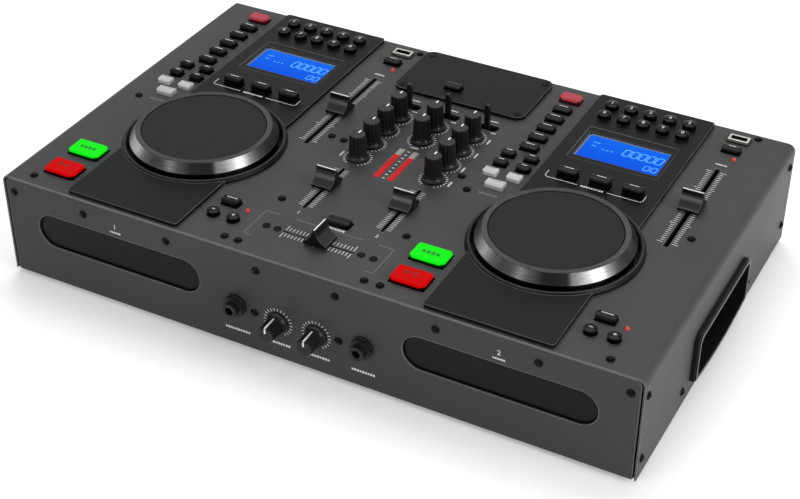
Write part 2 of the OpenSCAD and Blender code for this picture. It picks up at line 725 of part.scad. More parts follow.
// A flat lever on a cross pin, upright at rest
module toggle_lever(i) {
    color([0.08, 0.08, 0.08]) on_top(toggle_x[i], toggle_y) {
        translate([0, 0, -lever_drop]) {
            rotate([-90, 0, 0]) translate([0, 0, -3.2]) cylinder(r = 2.2, h = 6.4);
            rotate([-90, 0, 0]) translate([0, 0, -5.5]) cylinder(r = lever_pin_r, h = 11);
        }
        translate([0, 1.5, 0]) rotate([90, 0, 0]) linear_extrude(3)
            polygon([[-1.4, -lever_drop], [1.4, -lever_drop], [2, -2], [2.1, lever_h - 3],
                     [1.2, lever_h], [-1.2, lever_h], [-2.1, lever_h - 3], [-2, -2]]);
    }
}

module power_rocker() {
    w = rocker_size[0] / 2 - 0.4;
    l = rocker_size[1] / 2 - 0.7;
    color([0.1, 0.1, 0.1]) on_back(rocker_x, inlet_z) translate([0, 0, -2.5]) {
        rotate([0, 90, 0]) translate([0, 0, -w - 1.3]) cylinder(r = 1.2, h = 2 * w + 2.6);
        rotate([rocker_tilt, 0, 0]) translate([-w, 0, 0]) rotate([90, 0, 90]) linear_extrude(2 * w)
            polygon([[-l, 1.6], [-l, 4.2], [0, 3.4], [l, 4.2], [l, 1.6], [3, -2.4], [-3, -2.4]]);
    }
}

// ---- disc trays and drives ----

tray_t = 7;
tray_top = 2;                     // the tray's upper face over the door's middle
tray_y = front_y + door_recess;   // the door's face
door_t = 4;

module disc_tray(x) {
    z = foot_h + door_z + tray_top;
    disc_y = tray_y + door_t + 4 + disc_r;
    color([0.15, 0.15, 0.16]) {
        translate([x, tray_y + door_t, foot_h + door_z]) rotate([90, 0, 0])
            linear_extrude(door_t) stadium([door_w, door_h] - 2 * [door_gap, door_gap]);
        difference() {
            translate([x - tray_w / 2, tray_y + door_t - 0.5, z - tray_t])
                cube([tray_w, tray_l - door_t + 0.5, tray_t]);
            translate([x, disc_y, z - 2.4]) cylinder(r = disc_r, h = 3 + over, $fn = 96);
            translate([x, disc_y, z - 3.6]) cylinder(r = 40.5, h = 4, $fn = 96);
            translate([x, disc_y, z - tray_t - over]) linear_extrude(tray_t + 2 * over) {
                circle(18);
                translate([-18, 0]) square([36, 52]);
            }
        }
    }
}

// The frame that a tray runs in, with its rails, clamp bridge, spindle motor and legs
module disc_drive(x) {
    z = foot_h + door_z + tray_top - tray_t;
    inner = tray_w / 2 + drive_gap;
    wall = drive_wall;
    y0 = tray_y + door_t + 4;
    length = 186;
    deck_z = z - 7;
    disc_y = tray_y + door_t + 4 + disc_r;
    color([0.45, 0.46, 0.48]) translate([x, 0, 0]) {
        difference() {
            translate([-inner - wall, y0, deck_z]) cube([2 * inner + 2 * wall, length, 2]);
            translate([-20, disc_y - 18, deck_z - over]) cube([40, 76, 2 + 2 * over]);
        }
        for (s = [0, 1]) mirror([s, 0, 0]) {
            translate([inner, y0, deck_z]) cube([wall, length, 19]);
            translate([inner - 7, y0, deck_z + 1]) cube([7 + over, length, 6 - seat_gap]);
            for (y = [y0 + 14, y0 + length - 14]) translate([inner - 4, y, foot_h + sheet_t])
                cylinder(r = 4, h = deck_z - foot_h - sheet_t + 1);
        }
        translate([-inner - wall, disc_y - 16, deck_z + 18]) cube([2 * inner + 2 * wall, 32, 1.5]);
        translate([0, disc_y, deck_z + 15.5]) cylinder(r = 15, h = 3);
        translate([0, disc_y, deck_z - 8]) cylinder(r = 14, h = 8.6);
        translate([0, disc_y, deck_z]) cylinder(r = 8, h = 7 - 0.5);
        translate([-24, disc_y - 12, deck_z - 2]) cube([48, 66, 2.2]);
        translate([-10, disc_y + 22, deck_z]) cube([20, 16, 5]);
    }
}

module disc_drives() { for (x = tray_x) disc_drive(x); }

// ---- sockets ----

module front_jacks() {
    color([0.09, 0.09, 0.09]) for (x = jack_x) on_front(x, jack_z) difference() {
        union() {
            cylinder(r = 8.5, h = 2);
            translate([0, 0, 2]) cylinder(r = 7.6, h = 2.6);
            for (i = [0:11]) rotate([0, 0, i * 30]) translate([6.8, -0.6, 2]) cube([1.4, 1.2, 2.6]);
            cylinder(r = 5.8, h = jack_nose);
            translate([0, 0, -front_t - seat_gap]) cylinder(r = 5.8, h = front_t + seat_gap + 1);
            translate([-9, -9, -front_t - seat_gap - 24]) cube([18, 18, 24]);
        }
        translate([0, 0, -front_t - seat_gap - 22])
            cylinder(r = jack_r, h = 22 + front_t + seat_gap + jack_nose + over);
    }
}

module usb_sockets() {
    outer = usb_hole + 2 * [usb_wall, usb_wall];
    color([0.15, 0.15, 0.15]) for (x = deck_x) on_top(x + usb_at[0], usb_at[1]) difference() {
        union() {
            linear_extrude(1.2) round_rect(usb_bezel, 2.2);
            translate([0, 0, -usb_depth]) linear_extrude(usb_depth + 2)
                square(outer, center = true);
        }
        translate([0, 0, 1.2 - usb_depth]) linear_extrude(usb_depth + over)
            square(usb_hole, center = true);
    }
}

module phono_socket() {
    difference() {
        union() {
            cylinder(r = phono_r, h = phono_l + 1);
            translate([0, 0, -sheet_t - 3]) cylinder(r = phono_r + 0.7, h = sheet_t + 4);
            translate([-7, -7, -sheet_t - 12]) cube([14, 14, 12 - seat_gap]);
        }
        translate([0, 0, -sheet_t]) cylinder(r = 1.65, h = phono_l + 1 + sheet_t + over);
    }
}

module rear_sockets() {
    pins = [[-7, -2], [7, -2], [0, 2]];
    color([0.1, 0.1, 0.1]) {
        for (x = phono_x, z = phono_z) on_back(x, z) phono_socket();
        on_back(ground_x, phono_z[0]) {
            translate([0, 0, -sheet_t - 6]) cylinder(r = 2.7, h = sheet_t + 7);
            cylinder(r = 5, h = 2);
            cylinder(r = 2, h = 13);
            translate([0, 0, 4]) cylinder(r = 4.5, h = 7);
        }
        on_back(inlet_x, inlet_z) {
            difference() {
                union() {
                    linear_extrude(2) round_rect(inlet_hole + inlet_flange, 3);
                    translate([0, 0, -20]) linear_extrude(20 + over)
                        round_rect(inlet_hole + [4, 4], 2.5);
                }
                translate([0, 0, -15]) linear_extrude(17 + over) round_rect(inlet_hole, 2);
            }
            for (p = pins) translate([p[0] - 1, p[1] - 2, -15.5]) cube([2, 4, 12.5]);
        }
        on_back(rocker_x, inlet_z) difference() {
            union() {
                linear_extrude(1.5) round_rect(rocker_size + [6, 6], 1.5);
                translate([0, 0, -14]) linear_extrude(14 + over)
                    square(rocker_size + [3, 3], center = true);
            }
            translate([0, 0, -10]) linear_extrude(12 + over) square(rocker_size, center = true);
            translate([0, 0, -2.5]) rotate([0, 90, 0])
                cylinder(r = 1.2 + running_gap, h = rocker_size[0] + 2.2, center = true);
        }
    }
}

// ---- small parts ----

// A cross-recessed pan head screw, its head standing on z = 0
module pan_screw() {
    difference() {
        union() {
            intersection() {
                cylinder(r = 3, h = 2);
                translate([0, 0, -2.2]) sphere(4.2);
            }
            translate([0, 0, -6]) cylinder(r = 1.45, h = 6.5, $fn = 24);
        }
        for (a = [0, 90]) rotate([0, 0, a]) translate([-1.6, -0.35, 1]) cube([3.2, 0.7, 2]);
    }
}

// A low button head screw that a fader cap can pass over
module low_screw() {
    difference() {
        union() {
            cylinder(r = 2.9, h = 0.5);
            translate([0, 0, -6]) cylinder(r = 1.45, h = 6.2, $fn = 24);
        }
        for (a = [0, 90]) rotate([0, 0, a]) translate([-1.5, -0.35, 0.1]) cube([3, 0.7, 1]);
    }
}

module panel_screws() {
    color([0.1, 0.1, 0.1]) {
        for (p = top_screws) on_top(p[0], p[1]) pan_screw();
        for (p = flush_screws) on_top(p[0], p[1]) low_screw();
        for (p = plate_screws) on_top(p[0], p[1]) translate([0, 0, plate_t]) low_screw();
        for (p = front_screws) on_front(p[0], p[1]) pan_screw();
        for (p = rear_screws) on_back(p[0], p[1]) pan_screw();
        for (s = [0, 1], p = side_screws) mirror([s, 0, 0]) on_side(p[0], p[1]) pan_screw();
    }
}

module mixer_plate() {
    color([0.13, 0.13, 0.14]) on_top() difference() {
        translate(plate_at) linear_extrude(plate_t) round_rect(plate_size, 8);
        translate([0, 0, -over]) linear_extrude(plate_t + 2 * over) {
            key_hole(plate_key);
            for (p = plate_screws) translate(p) circle(screw_hole_r);
        }
    }
}

// Level meter windows and the signal lamps, each down to its board
module indicators() {
    color([0.9, 0.1, 0.1]) on_top() {
        for (x = meter_x) translate([x, meter_y, board_top])
            linear_extrude(0.3 - board_top) square(meter_size - [0.2, 0.2], center = true);
        for (x = deck_x, p = leds) translate([x + p[0], p[1], 0]) {
            translate([0, 0, board_top]) cylinder(r = led_r, h = 0.8 - board_top);
            translate([0, 0, 0.8]) sphere(led_r);
        }
    }
}

module standoff(x, y, panel) {
    translate([x, y, board_top - board_t / 2]) cylinder(r = 2.5, h = panel - board_top + board_t / 2);
}

module board(size) {
    translate([size[0], size[1], board_top - board_t]) cube([size[2], size[3], board_t]);
}

module circuit_boards() {
    color([0.05, 0.35, 0.2]) {
        for (x = deck_x) on_top(x, 0) {
            difference() {
                union() {
                    board([-84, -142, 34, 290]);
                    board([-52, 22, 95, 126]);
                }
                translate([jog_dx, jog_y, board_top - board_t - over])
                    cylinder(r = well_r + 3, h = board_t + 2 * over);
            }
            for (y = [-116.5, 64, 143]) standoff(-81.5, y, under);
            for (y = [46, 112]) standoff(39.5, y, 0);
            board([56, -134, 28, 32]);
            standoff(81.2, -104.8, under);
            standoff(68.7, -128, under);
            board([60, 109, 20, 23]);
            standoff(62.5, 111.5, under);
        }
        on_top() {
            board([plate_key[0] - 15.5, 98, 31, 18]);
            for (x = [-13, 13]) standoff(plate_key[0] + x, 107, under);
            board([start_key[0] - 18, -106, 36, 20]);
            for (x = [-15.4, 15.4]) standoff(start_key[0] + x, -96, under);
            board([meter_x[0] - 6.3, -34, 24, 50]);
            standoff((meter_x[0] + meter_x[1]) / 2, -31.5, under);
        }
        translate([side_x0 - 130, 60, foot_h + sheet_t]) {
            for (x = [4, 96], y = [4, 72]) translate([x, y, 0]) cylinder(r = 3, h = 8);
            translate([0, 0, 7]) cube([100, 76, 1.6]);
            translate([12, 12, 8]) cube([34, 30, 26]);
            translate([60, 14, 8]) cylinder(r = 9, h = 24);
            translate([60, 38, 8]) cylinder(r = 9, h = 24);
        }
    }
}

// A fader's housing with the channel that its stem runs in, long along Y
module fader_body(length, slot) {
    difference() {
        translate([-5, -length / 2 - 7, body_top - 9]) cube([10, length + 14, 9]);
        translate([-slot / 2, -length / 2, body_top - 7.5]) cube([slot, length, 7.5 + over]);
    }
}

// A rotary control with the bush that carries its shaft
module rotary_body() {
    difference() {
        union() {
            translate([-5.5, -5.5, -8]) cube([11, 11, 8]);
            translate([0, 0, -1]) cylinder(r = bush_r, h = 1 + seat_gap + sheet_t + 0.2);
        }
        translate([0, 0, -8 - over]) cylinder(r = shaft_r + running_gap, h = 12 + over);
    }
}

module toggle_body() {
    difference() {
        translate([-9, -6, body_top - 11]) cube([18, 12, 11]);
        translate([-7.5, -3.5, body_top - 10]) cube([15, 7, 10 + over]);
        translate([0, 0, -lever_drop]) rotate([90, 0, 0])
            cylinder(r = lever_pin_r + running_gap, h = 14, center = true);
    }
}

module control_bodies() {
    color([0.3, 0.3, 0.32]) {
        for (x = deck_x) on_top(x + pitch_dx, pitch_slot_y) fader_body(pitch_slot_l, 2.6);
        for (x = line_x) on_top(x, line_slot_y) fader_body(line_slot_l, 2.6);
        difference() {
            on_top(cross_slot_x, cross_y) rotate([0, 0, 90]) fader_body(cross_slot_l, 2);
            for (p = flush_screws) on_top(p[0], p[1])
                translate([0, 0, -8]) cylinder(r = screw_hole_r, h = 8);
        }
        for (p = mixer_knob_places()) on_top(p[0], p[1]) translate([0, 0, body_top]) rotary_body();
        for (x = front_knob_x) on_front(x, front_knob_z)
            translate([0, 0, -front_t - seat_gap]) rotary_body();
        for (x = toggle_x) on_top(x, toggle_y) toggle_body();
    }
}

// ---- key groups ----

module side_key_group(x) {
    color([0.09, 0.09, 0.1])
        for (k = shifted(concat(side_keys, small_keys), x)) box_key(k, key_h);
}
module white_key_group(x) {
    color([0.9, 0.9, 0.9]) for (k = shifted(white_keys, x)) box_key(k, key_h - 0.3, white_corner);
}
module number_key_group(x) {
    color([0.09, 0.09, 0.1])
        for (p = number_keys) round_key(x + p[0], p[1], number_r, deck_t + number_h, 0);
}
module loop_key_group(x) {
    color([0.09, 0.09, 0.1])
        for (k = shifted(loop_keys, x)) box_key(k, deck_t + loop_h, key_corner, 0);
}
module pitch_key_group(x) {
    color([0.09, 0.09, 0.1]) {
        for (k = shifted([tempo_key, usb_key], x)) box_key(k, key_h);
        for (p = bend_keys) round_key(x + p[0], p[1], bend_key_r, key_h, under);
    }
}
module mixer_keys() {
    color([0.09, 0.09, 0.1]) {
        box_key(plate_key, plate_t + key_h);
        box_key(start_key, key_h - 0.8, key_corner + 1);
    }
}
module big_key_at(x, y) { big_key_in([x + big_x, y, big_key], key_h - 0.4, 1.2); }
module eject_key_at(x) { big_key_in([x + eject_at[0], eject_at[1], eject_key], key_h + 0.3, 1.2); }

function knob_at(side, row) = [knob_x[side], knob_y0 - row * knob_pitch];

base_tray();
top_cover();
front_panel();
deck_plates();
mixer_plate();
displays();
carry_handles();
feet();
front_jacks();
usb_sockets();
panel_screws();
rear_sockets();
indicators();
disc_drives();
circuit_boards();
control_bodies();
jog_wheel(deck_x[0]);  // jog_wheel_a
jog_wheel(deck_x[1]);  // jog_wheel_b
jog_cap(deck_x[0]);  // jog_cap_a
jog_cap(deck_x[1]);  // jog_cap_b
pitch_fader(deck_x[0]);  // pitch_fader_a
pitch_fader(deck_x[1]);  // pitch_fader_b
line_fader(0);  // line_fader_a
line_fader(1);  // line_fader_b
crossfader();
mixer_knob(knob_at(0, 0));  // gain_knob_a
mixer_knob(knob_at(0, 1));  // treble_knob_a
mixer_knob(knob_at(0, 2));  // mid_knob_a
mixer_knob(knob_at(0, 3));  // bass_knob_a
mixer_knob(knob_at(1, 0));  // gain_knob_b
mixer_knob(knob_at(1, 1));  // treble_knob_b
mixer_knob(knob_at(1, 2));  // mid_knob_b
mixer_knob(knob_at(1, 3));  // bass_knob_b
mixer_knob([centre_knob_x, knob_y0]);  // master_knob
mixer_knob([centre_knob_x, knob_y0 - knob_pitch]);  // monitor_knob
front_knob(front_knob_x[0]);  // mic_knob
front_knob(front_knob_x[1]);  // phones_knob
toggle_lever(0);  // input_switch_a
toggle_lever(1);  // monitor_switch
toggle_lever(2);  // input_switch_b
disc_tray(tray_x[0]);  // disc_tray_a
disc_tray(tray_x[1]);  // disc_tray_b
power_rocker();
color([0.1, 0.9, 0.2]) big_key_at(deck_x[0], cue_y);  // cue_key_a
color([0.1, 0.9, 0.2]) big_key_at(deck_x[1], cue_y);  // cue_key_b
color([0.9, 0.1, 0.1]) big_key_at(deck_x[0], play_y);  // play_key_a
color([0.9, 0.1, 0.1]) big_key_at(deck_x[1], play_y);  // play_key_b
color([0.75, 0.2, 0.25]) eject_key_at(deck_x[0]);  // eject_key_a
color([0.75, 0.2, 0.25]) eject_key_at(deck_x[1]);  // eject_key_b
side_key_group(deck_x[0]);  // side_keys_a
side_key_group(deck_x[1]);  // side_keys_b
white_key_group(deck_x[0]);  // white_keys_a
white_key_group(deck_x[1]);  // white_keys_b
number_key_group(deck_x[0]);  // number_keys_a
number_key_group(deck_x[1]);  // number_keys_b
loop_key_group(deck_x[0]);  // loop_keys_a
loop_key_group(deck_x[1]);  // loop_keys_b
pitch_key_group(deck_x[0]);  // pitch_keys_a
pitch_key_group(deck_x[1]);  // pitch_keys_b
mixer_keys();
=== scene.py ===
import math

import bmesh
import bpy
from mathutils import Matrix, Vector


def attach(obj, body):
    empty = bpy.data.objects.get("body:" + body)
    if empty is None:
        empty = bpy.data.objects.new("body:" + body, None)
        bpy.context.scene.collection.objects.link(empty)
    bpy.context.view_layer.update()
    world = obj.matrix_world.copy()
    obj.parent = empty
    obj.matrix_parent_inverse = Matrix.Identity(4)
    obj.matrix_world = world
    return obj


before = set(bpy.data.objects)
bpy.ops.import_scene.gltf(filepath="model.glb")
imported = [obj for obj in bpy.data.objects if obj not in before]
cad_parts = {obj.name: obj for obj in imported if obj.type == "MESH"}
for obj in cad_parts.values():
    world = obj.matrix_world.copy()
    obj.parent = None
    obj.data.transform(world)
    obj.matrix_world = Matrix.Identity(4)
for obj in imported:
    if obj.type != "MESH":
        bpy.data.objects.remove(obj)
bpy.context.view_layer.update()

# Sizes are in millimetres: x to the right, y to the back, z up from the table.
mm = 0.001
coverTop = 88.0                              # upper face of the steel cover
plateTop = coverTop + 3                      # upper face of the deck plates
frontFace, rearFace = -156.5, 156.5          # outer faces of the front and rear panels
footHeight = 4.0
sideFace = 251.75                            # outer face of the cover's side, from the middle
deckCentres = {"a": -146.75, "b": 141.25}    # middle of each deck plate
trayCentres = {"a": -152.75, "b": 151.25}    # middle of each disc door
jogAxis = (1.8, -49.0)                       # from a deck plate's middle
defaultIor = 1.5                             # plastics, paints and inks, and metals keep it too
noiseSpan = (0.3, 0.7)                       # where most of a noise's values lie
paintedEdgeTurn = (0.995, 0.9)                       # cosine of an edge's turn where the painted edge highlight starts and is full


def linear(code):
    channels = [int(code[i:i + 2], 16) / 255 for i in (1, 3, 5)]
    return tuple(c / 12.92 if c <= 0.04045 else ((c + 0.055) / 1.055) ** 2.4 for c in channels) + (1.0,)


def addNode(tree, kind, settings=None, links=None):
    node = tree.nodes.new("ShaderNode" + kind)
    for name, value in (settings or {}).items():
        setattr(node, name, value)
    for name, value in (links or {}).items():
        if isinstance(value, bpy.types.NodeSocket):
            tree.links.new(value, node.inputs[name])
        else:
            node.inputs[name].default_value = value
    return node


def startMaterial(name, shaderValues):
    material = bpy.data.materials.new(name)
    material.use_nodes = True
    tree = material.node_tree
    tree.nodes.clear()
    shader = addNode(tree, "BsdfPrincipled", links=shaderValues)
    addNode(tree, "OutputMaterial", links={"Surface": shader.outputs["BSDF"]})
    place = addNode(tree, "TexCoord").outputs["Object"]
    return material, tree, shader, place


# A finish with two close tones, a fine grain in relief, uneven gloss and soft edges, and on some a painted
# highlight along the edges.
def finishMaterial(name, look):
    material, tree, shader, place = startMaterial(name, {
        "Metallic": look.get("metallic", 0.0),
        "IOR": defaultIor,
        "Specular IOR Level": look.get("specular", 0.5),
    })
    cloud = addNode(tree, "TexNoise", links={
        "Vector": place, "Scale": 1000 / look.get("cloudSize", 60), "Detail": 3.0})
    tones = addNode(tree, "ValToRGB", links={"Fac": cloud.outputs["Fac"]})
    for stop, spot, tone in zip(tones.color_ramp.elements, noiseSpan, (look["tone"], look["secondTone"])):
        stop.position = spot
        stop.color = linear(tone)
    colour = tones.outputs["Color"]
    edge = addNode(tree, "Bevel", {"samples": 6}, {"Radius": look.get("edge", 0.3) * mm})
    # A lighter colour along the edges: a painted highlight, strongest where the bevelled normal turns
    # furthest from the face's.
    if "rubbed" in look:
        facing = addNode(tree, "NewGeometry").outputs["Normal"]
        turn = addNode(tree, "VectorMath", {"operation": "DOT_PRODUCT"},
                       {0: edge.outputs["Normal"], 1: facing})
        paintedEdgeLight = addNode(tree, "MapRange", links={"Value": turn.outputs["Value"], "From Min": paintedEdgeTurn[0],
                                               "From Max": paintedEdgeTurn[1], "To Max": look["rubShare"]})
        colour = addNode(tree, "MixRGB", links={"Fac": paintedEdgeLight.outputs["Result"], "Color1": colour,
                                                "Color2": linear(look["rubbed"])}).outputs["Color"]
    tree.links.new(colour, shader.inputs["Base Color"])
    gloss = addNode(tree, "MapRange", links={
        "Value": cloud.outputs["Fac"], "From Min": noiseSpan[0], "From Max": noiseSpan[1],
        "To Min": look["roughness"][0], "To Max": look["roughness"][1]})
    tree.links.new(gloss.outputs["Result"], shader.inputs["Roughness"])
    grain = addNode(tree, "TexNoise", links={
        "Vector": place, "Scale": 1000 / look.get("grainSize", 1.0), "Detail": 1.0})
    relief = addNode(tree, "Bump", links={
        "Height": grain.outputs["Fac"], "Strength": look.get("grain", 0.1),
        "Distance": look.get("grainDepth", 0.05) * mm, "Normal": edge.outputs["Normal"]})
    tree.links.new(relief.outputs["Normal"], shader.inputs["Normal"])
    return material


looks = {
    # textured powder coat on steel: dull, finely pebbled dark grey, with a painted highlight along its edges
    "powderCoatedSteel": {"tone": "#38383a", "secondTone": "#3f3f41", "roughness": (0.42, 0.52),
                          "specular": 0.14, "cloudSize": 90, "grainSize": 1.1, "grain": 0.6,
                          "grainDepth": 0.1, "edge": 0.9, "rubbed": "#a2a2a4", "rubShare": 0.62},
    # injection moulded ABS with a fine satin face: nearly black, weak broad reflections, a painted highlight
    # along its edges
    "satinAbs": {"tone": "#09090a", "secondTone": "#0d0d0e", "roughness": (0.34, 0.44), "specular": 0.08,
                 "grainSize": 1.6, "grain": 0.12, "edge": 0.7, "rubbed": "#78787a", "rubShare": 0.8},
    # the same ABS against a spark-eroded tool: black with a dull sheen, a faint painted highlight along its
    # edges
    "texturedAbs": {"tone": "#111112", "secondTone": "#161617", "roughness": (0.26, 0.36), "specular": 0.22,
                    "grainSize": 0.9, "grain": 0.35, "grainDepth": 0.05, "edge": 0.45,
                    "rubbed": "#3a3a3c", "rubShare": 0.6},
    # the disc doors: smooth, a tone lighter than the knobs
    "smoothDoorAbs": {"tone": "#0e0e10", "secondTone": "#121213", "roughness": (0.3, 0.4), "specular": 0.1,
                      "cloudSize": 120, "grain": 0.04, "edge": 0.8},
    # hard glossy ABS of the fader caps: black, with narrow painted highlights on its edges
    "polishedAbs": {"tone": "#08080a", "secondTone": "#0b0b0c", "roughness": (0.2, 0.28), "specular": 0.32,
                    "grain": 0.02, "edge": 0.6, "rubbed": "#5a5a5c", "rubShare": 0.6},
    # silicone rubber key caps: deep black, a soft highlight along their arched tops
    "siliconeRubber": {"tone": "#040405", "secondTone": "#060607", "roughness": (0.16, 0.24),
                       "specular": 0.08, "cloudSize": 12, "grainSize": 0.8, "grain": 0.12, "edge": 0.8},
    # the same rubber filled with white: pale, with a duller top
    "whiteSilicone": {"tone": "#b0b0b2", "secondTone": "#bebec0", "roughness": (0.45, 0.55), "specular": 0.3,
                      "cloudSize": 12, "grainSize": 0.8, "grain": 0.2, "edge": 0.7},
    # vulcanised rubber of the feet
    "footRubber": {"tone": "#161616", "secondTone": "#1d1d1d", "roughness": (0.7, 0.8),
                   "grainSize": 0.8, "grain": 0.3, "edge": 0.4},
    # blackened steel of the screws: dark, with painted bright highlights on their rims
    "blackenedSteel": {"tone": "#010101", "secondTone": "#030303", "roughness": (0.12, 0.2), "specular": 0.05,
                       "cloudSize": 8, "edge": 0.25, "rubbed": "#9a9a9c", "rubShare": 0.25},
    # rolled zinc-plated sheet inside
    "zincPlatedSteel": {"tone": "#6d7073", "secondTone": "#7e8184", "roughness": (0.32, 0.45),
                        "metallic": 1.0, "cloudSize": 25, "grain": 0.05, "edge": 0.3},
    # phenolic resin bodies of the faders and rotary controls: near black, which also paints the shade down in
    # the slots
    "phenolicResin": {"tone": "#0c0b0b", "secondTone": "#121110", "roughness": (0.5, 0.6), "specular": 0.1,
                      "cloudSize": 20, "grain": 0.1, "edge": 0.3},
    # glass fibre board under green solder resist
    "solderResist": {"tone": "#0b3a20", "secondTone": "#0e4426", "roughness": (0.35, 0.45),
                     "cloudSize": 20, "grainSize": 1.2, "grain": 0.1, "edge": 0.2},
    # screen printing ink: thin, opaque, dull
    "printInk": {"tone": "#d0d0d2", "secondTone": "#dcdcde", "roughness": (0.5, 0.6), "specular": 0.2,
                 "cloudSize": 6, "grain": 0.0, "edge": 0.05},
    # the same ink thinned to grey, for lines that should hardly show
    "faintInk": {"tone": "#707072", "secondTone": "#7a7a7c", "roughness": (0.5, 0.6), "specular": 0.2,
                 "cloudSize": 6, "grain": 0.0, "edge": 0.05},
    # thick white paint in the knobs' and faders' grooves
    "whitePaint": {"tone": "#e6e6e8", "secondTone": "#f0f0f2", "roughness": (0.4, 0.5),
                   "cloudSize": 6, "grain": 0.0, "edge": 0.1},
    # a pale grey, dull strip: a painted highlight along the cover's front edge
    "bareSteel": {"tone": "#646466", "secondTone": "#6e6e70", "roughness": (0.4, 0.5), "specular": 0.3,
                  "cloudSize": 14, "grain": 0.0, "edge": 0.1},
    # nickel plating on pressed shells and sleeves: bright and even
    "nickelPlate": {"tone": "#c4c1b9", "secondTone": "#cecbc3", "roughness": (0.16, 0.24),
                    "metallic": 1.0, "cloudSize": 10, "grain": 0.0, "edge": 0.2},
    # translucent inks over the lit keys: a darker share of the light
    "darkRedInk": {"tone": "#6e0402", "secondTone": "#780604", "roughness": (0.5, 0.6), "specular": 0.2,
                   "cloudSize": 6, "grain": 0.0, "edge": 0.05},
    "darkGreenInk": {"tone": "#067018", "secondTone": "#087a1c", "roughness": (0.5, 0.6), "specular": 0.2,
                     "cloudSize": 6, "grain": 0.0, "edge": 0.05},
    # coloured nylon rings inside the phono sockets
    "redNylon": {"tone": "#9c1712", "secondTone": "#a81c16", "roughness": (0.35, 0.45), "cloudSize": 8},
    "whiteNylon": {"tone": "#cfcfca", "secondTone": "#d8d8d4", "roughness": (0.35, 0.45), "cloudSize": 8},
}
finishes = {name: finishMaterial(name, look) for name, look in looks.items()}


# Translucent keys and marks lit from below: bright over a floor height, and under it fading to a deep tone
# that is painted shade on the keys' skirts.
lit = {"fade": (-0.3, 0.5), "edge": 0.5}


def litMaterial(name, look):
    material, tree, shader, place = startMaterial(name, {
        "Roughness": look["roughness"], "IOR": defaultIor, "Specular IOR Level": look["specular"],
        "Emission Strength": look["strength"]})
    height = addNode(tree, "SeparateXYZ", links={"Vector": place}).outputs["Z"]
    low, high = [(look["floor"] + fade) * mm for fade in lit["fade"]]
    rise = addNode(tree, "MapRange", links={"Value": height, "From Min": low, "From Max": high})
    # under the floor height both colours fade to painted shade
    for socket, bright in (("Base Color", look["tone"]), ("Emission Color", look["glow"])):
        blend = addNode(tree, "MixRGB", links={"Fac": rise.outputs["Result"], "Color1": linear(look["deep"]),
                                               "Color2": linear(bright)})
        tree.links.new(blend.outputs["Color"], shader.inputs[socket])
    edge = addNode(tree, "Bevel", {"samples": 4}, {"Radius": lit["edge"] * mm})
    tree.links.new(edge.outputs["Normal"], shader.inputs["Normal"])
    return material


litLooks = {
    # polycarbonate over a green lamp: saturated, with painted shade as a black-green skirt
    "litGreenKey": {"tone": "#087010", "glow": "#00ff0c", "deep": "#021004", "floor": coverTop + 2.3,
                    "strength": 0.72, "roughness": 0.35, "specular": 0.04},
    # polycarbonate over a red lamp: an even deep red, hardly a reflection, with painted shade on its skirt
    "litRedKey": {"tone": "#400000", "glow": "#f40000", "deep": "#100202", "floor": coverTop + 2.3,
                  "strength": 0.64, "roughness": 0.4, "specular": 0.02},
    # smoked red polycarbonate, hardly lit: a milky pink top, with painted shade on its skirt
    "tintedRedKey": {"tone": "#96303c", "glow": "#a02836", "deep": "#2a070a", "floor": coverTop + 2.6,
                     "strength": 0.2, "roughness": 0.4, "specular": 0.2},
    # the display's lit segments, paler than the blue round them
    "displayInk": {"tone": "#2f7cf0", "glow": "#66b0ff", "deep": "#66b0ff", "floor": 0,
                   "strength": 0.7, "roughness": 0.4, "specular": 0.05},
    # a pale, faintly glowing border along the window's far and left edges
    "displayBorder": {"tone": "#6d747c", "glow": "#5a6068", "deep": "#5a6068", "floor": 0,
                      "strength": 0.1, "roughness": 0.4, "specular": 0.05},
}
for name, look in litLooks.items():
    finishes[name] = litMaterial(name, look)


# Aluminium turned on a lathe: fine lines about the axis, and painted reflections, bright and dark fans over
# the bevel in its colour.
# Each painted tone goes with an angle in degrees about the wheel's axis, and "turn" swings them for a deck.
# The lines are drawn coarser than the tool leaves them, so that they show.
turnedRing = {"metallic": 1.0, "anisotropy": 0.4, "roughness": 0.34, "linePitch": 0.5,
              "streak": (0.62, 1.28), "turn": {"a": 0, "b": -8},
              "rim": "#3c3c3c", "rimHeight": (coverTop + 13.5, coverTop + 13.8),
              "tones": ((-172, "#3e3e3e"), (-150, "#565656"), (-135, "#909090"), (-122, "#a8a8a8"),
                        (-112, "#606060"), (-101, "#3a3a3a"), (-91, "#383838"), (-85, "#4e4e4e"),
                        (-78, "#303030"), (-67, "#1a1a1a"), (-50, "#242424"), (-47, "#6a6a6a"),
                        (-40, "#6e6e6e"), (-34, "#767676"), (-27, "#969696"), (-19, "#646464"),
                        (-8, "#3e3e3e"), (4, "#2a2a2a"), (25, "#242424"), (90, "#323232"), (170, "#3e3e3e"))}
# Rubber-coated disc let into the ring: dull, with faint rings.
turnedDisc = {"metallic": 0.0, "anisotropy": 0.0, "roughness": 0.5, "linePitch": 1.4,
              "streak": (0.9, 1.08), "turn": {"a": 0, "b": 0},
              "rim": "#121213", "rimHeight": (coverTop + 1, coverTop + 2),
              "tones": ((-179, "#121213"), (179, "#121213"))}
# What both share. "changes" is how often a turning line changes in a radian.
turning = {"changes": 5.0, "specular": 0.1, "bump": 0.12, "depth": 0.04, "edge": 0.4}


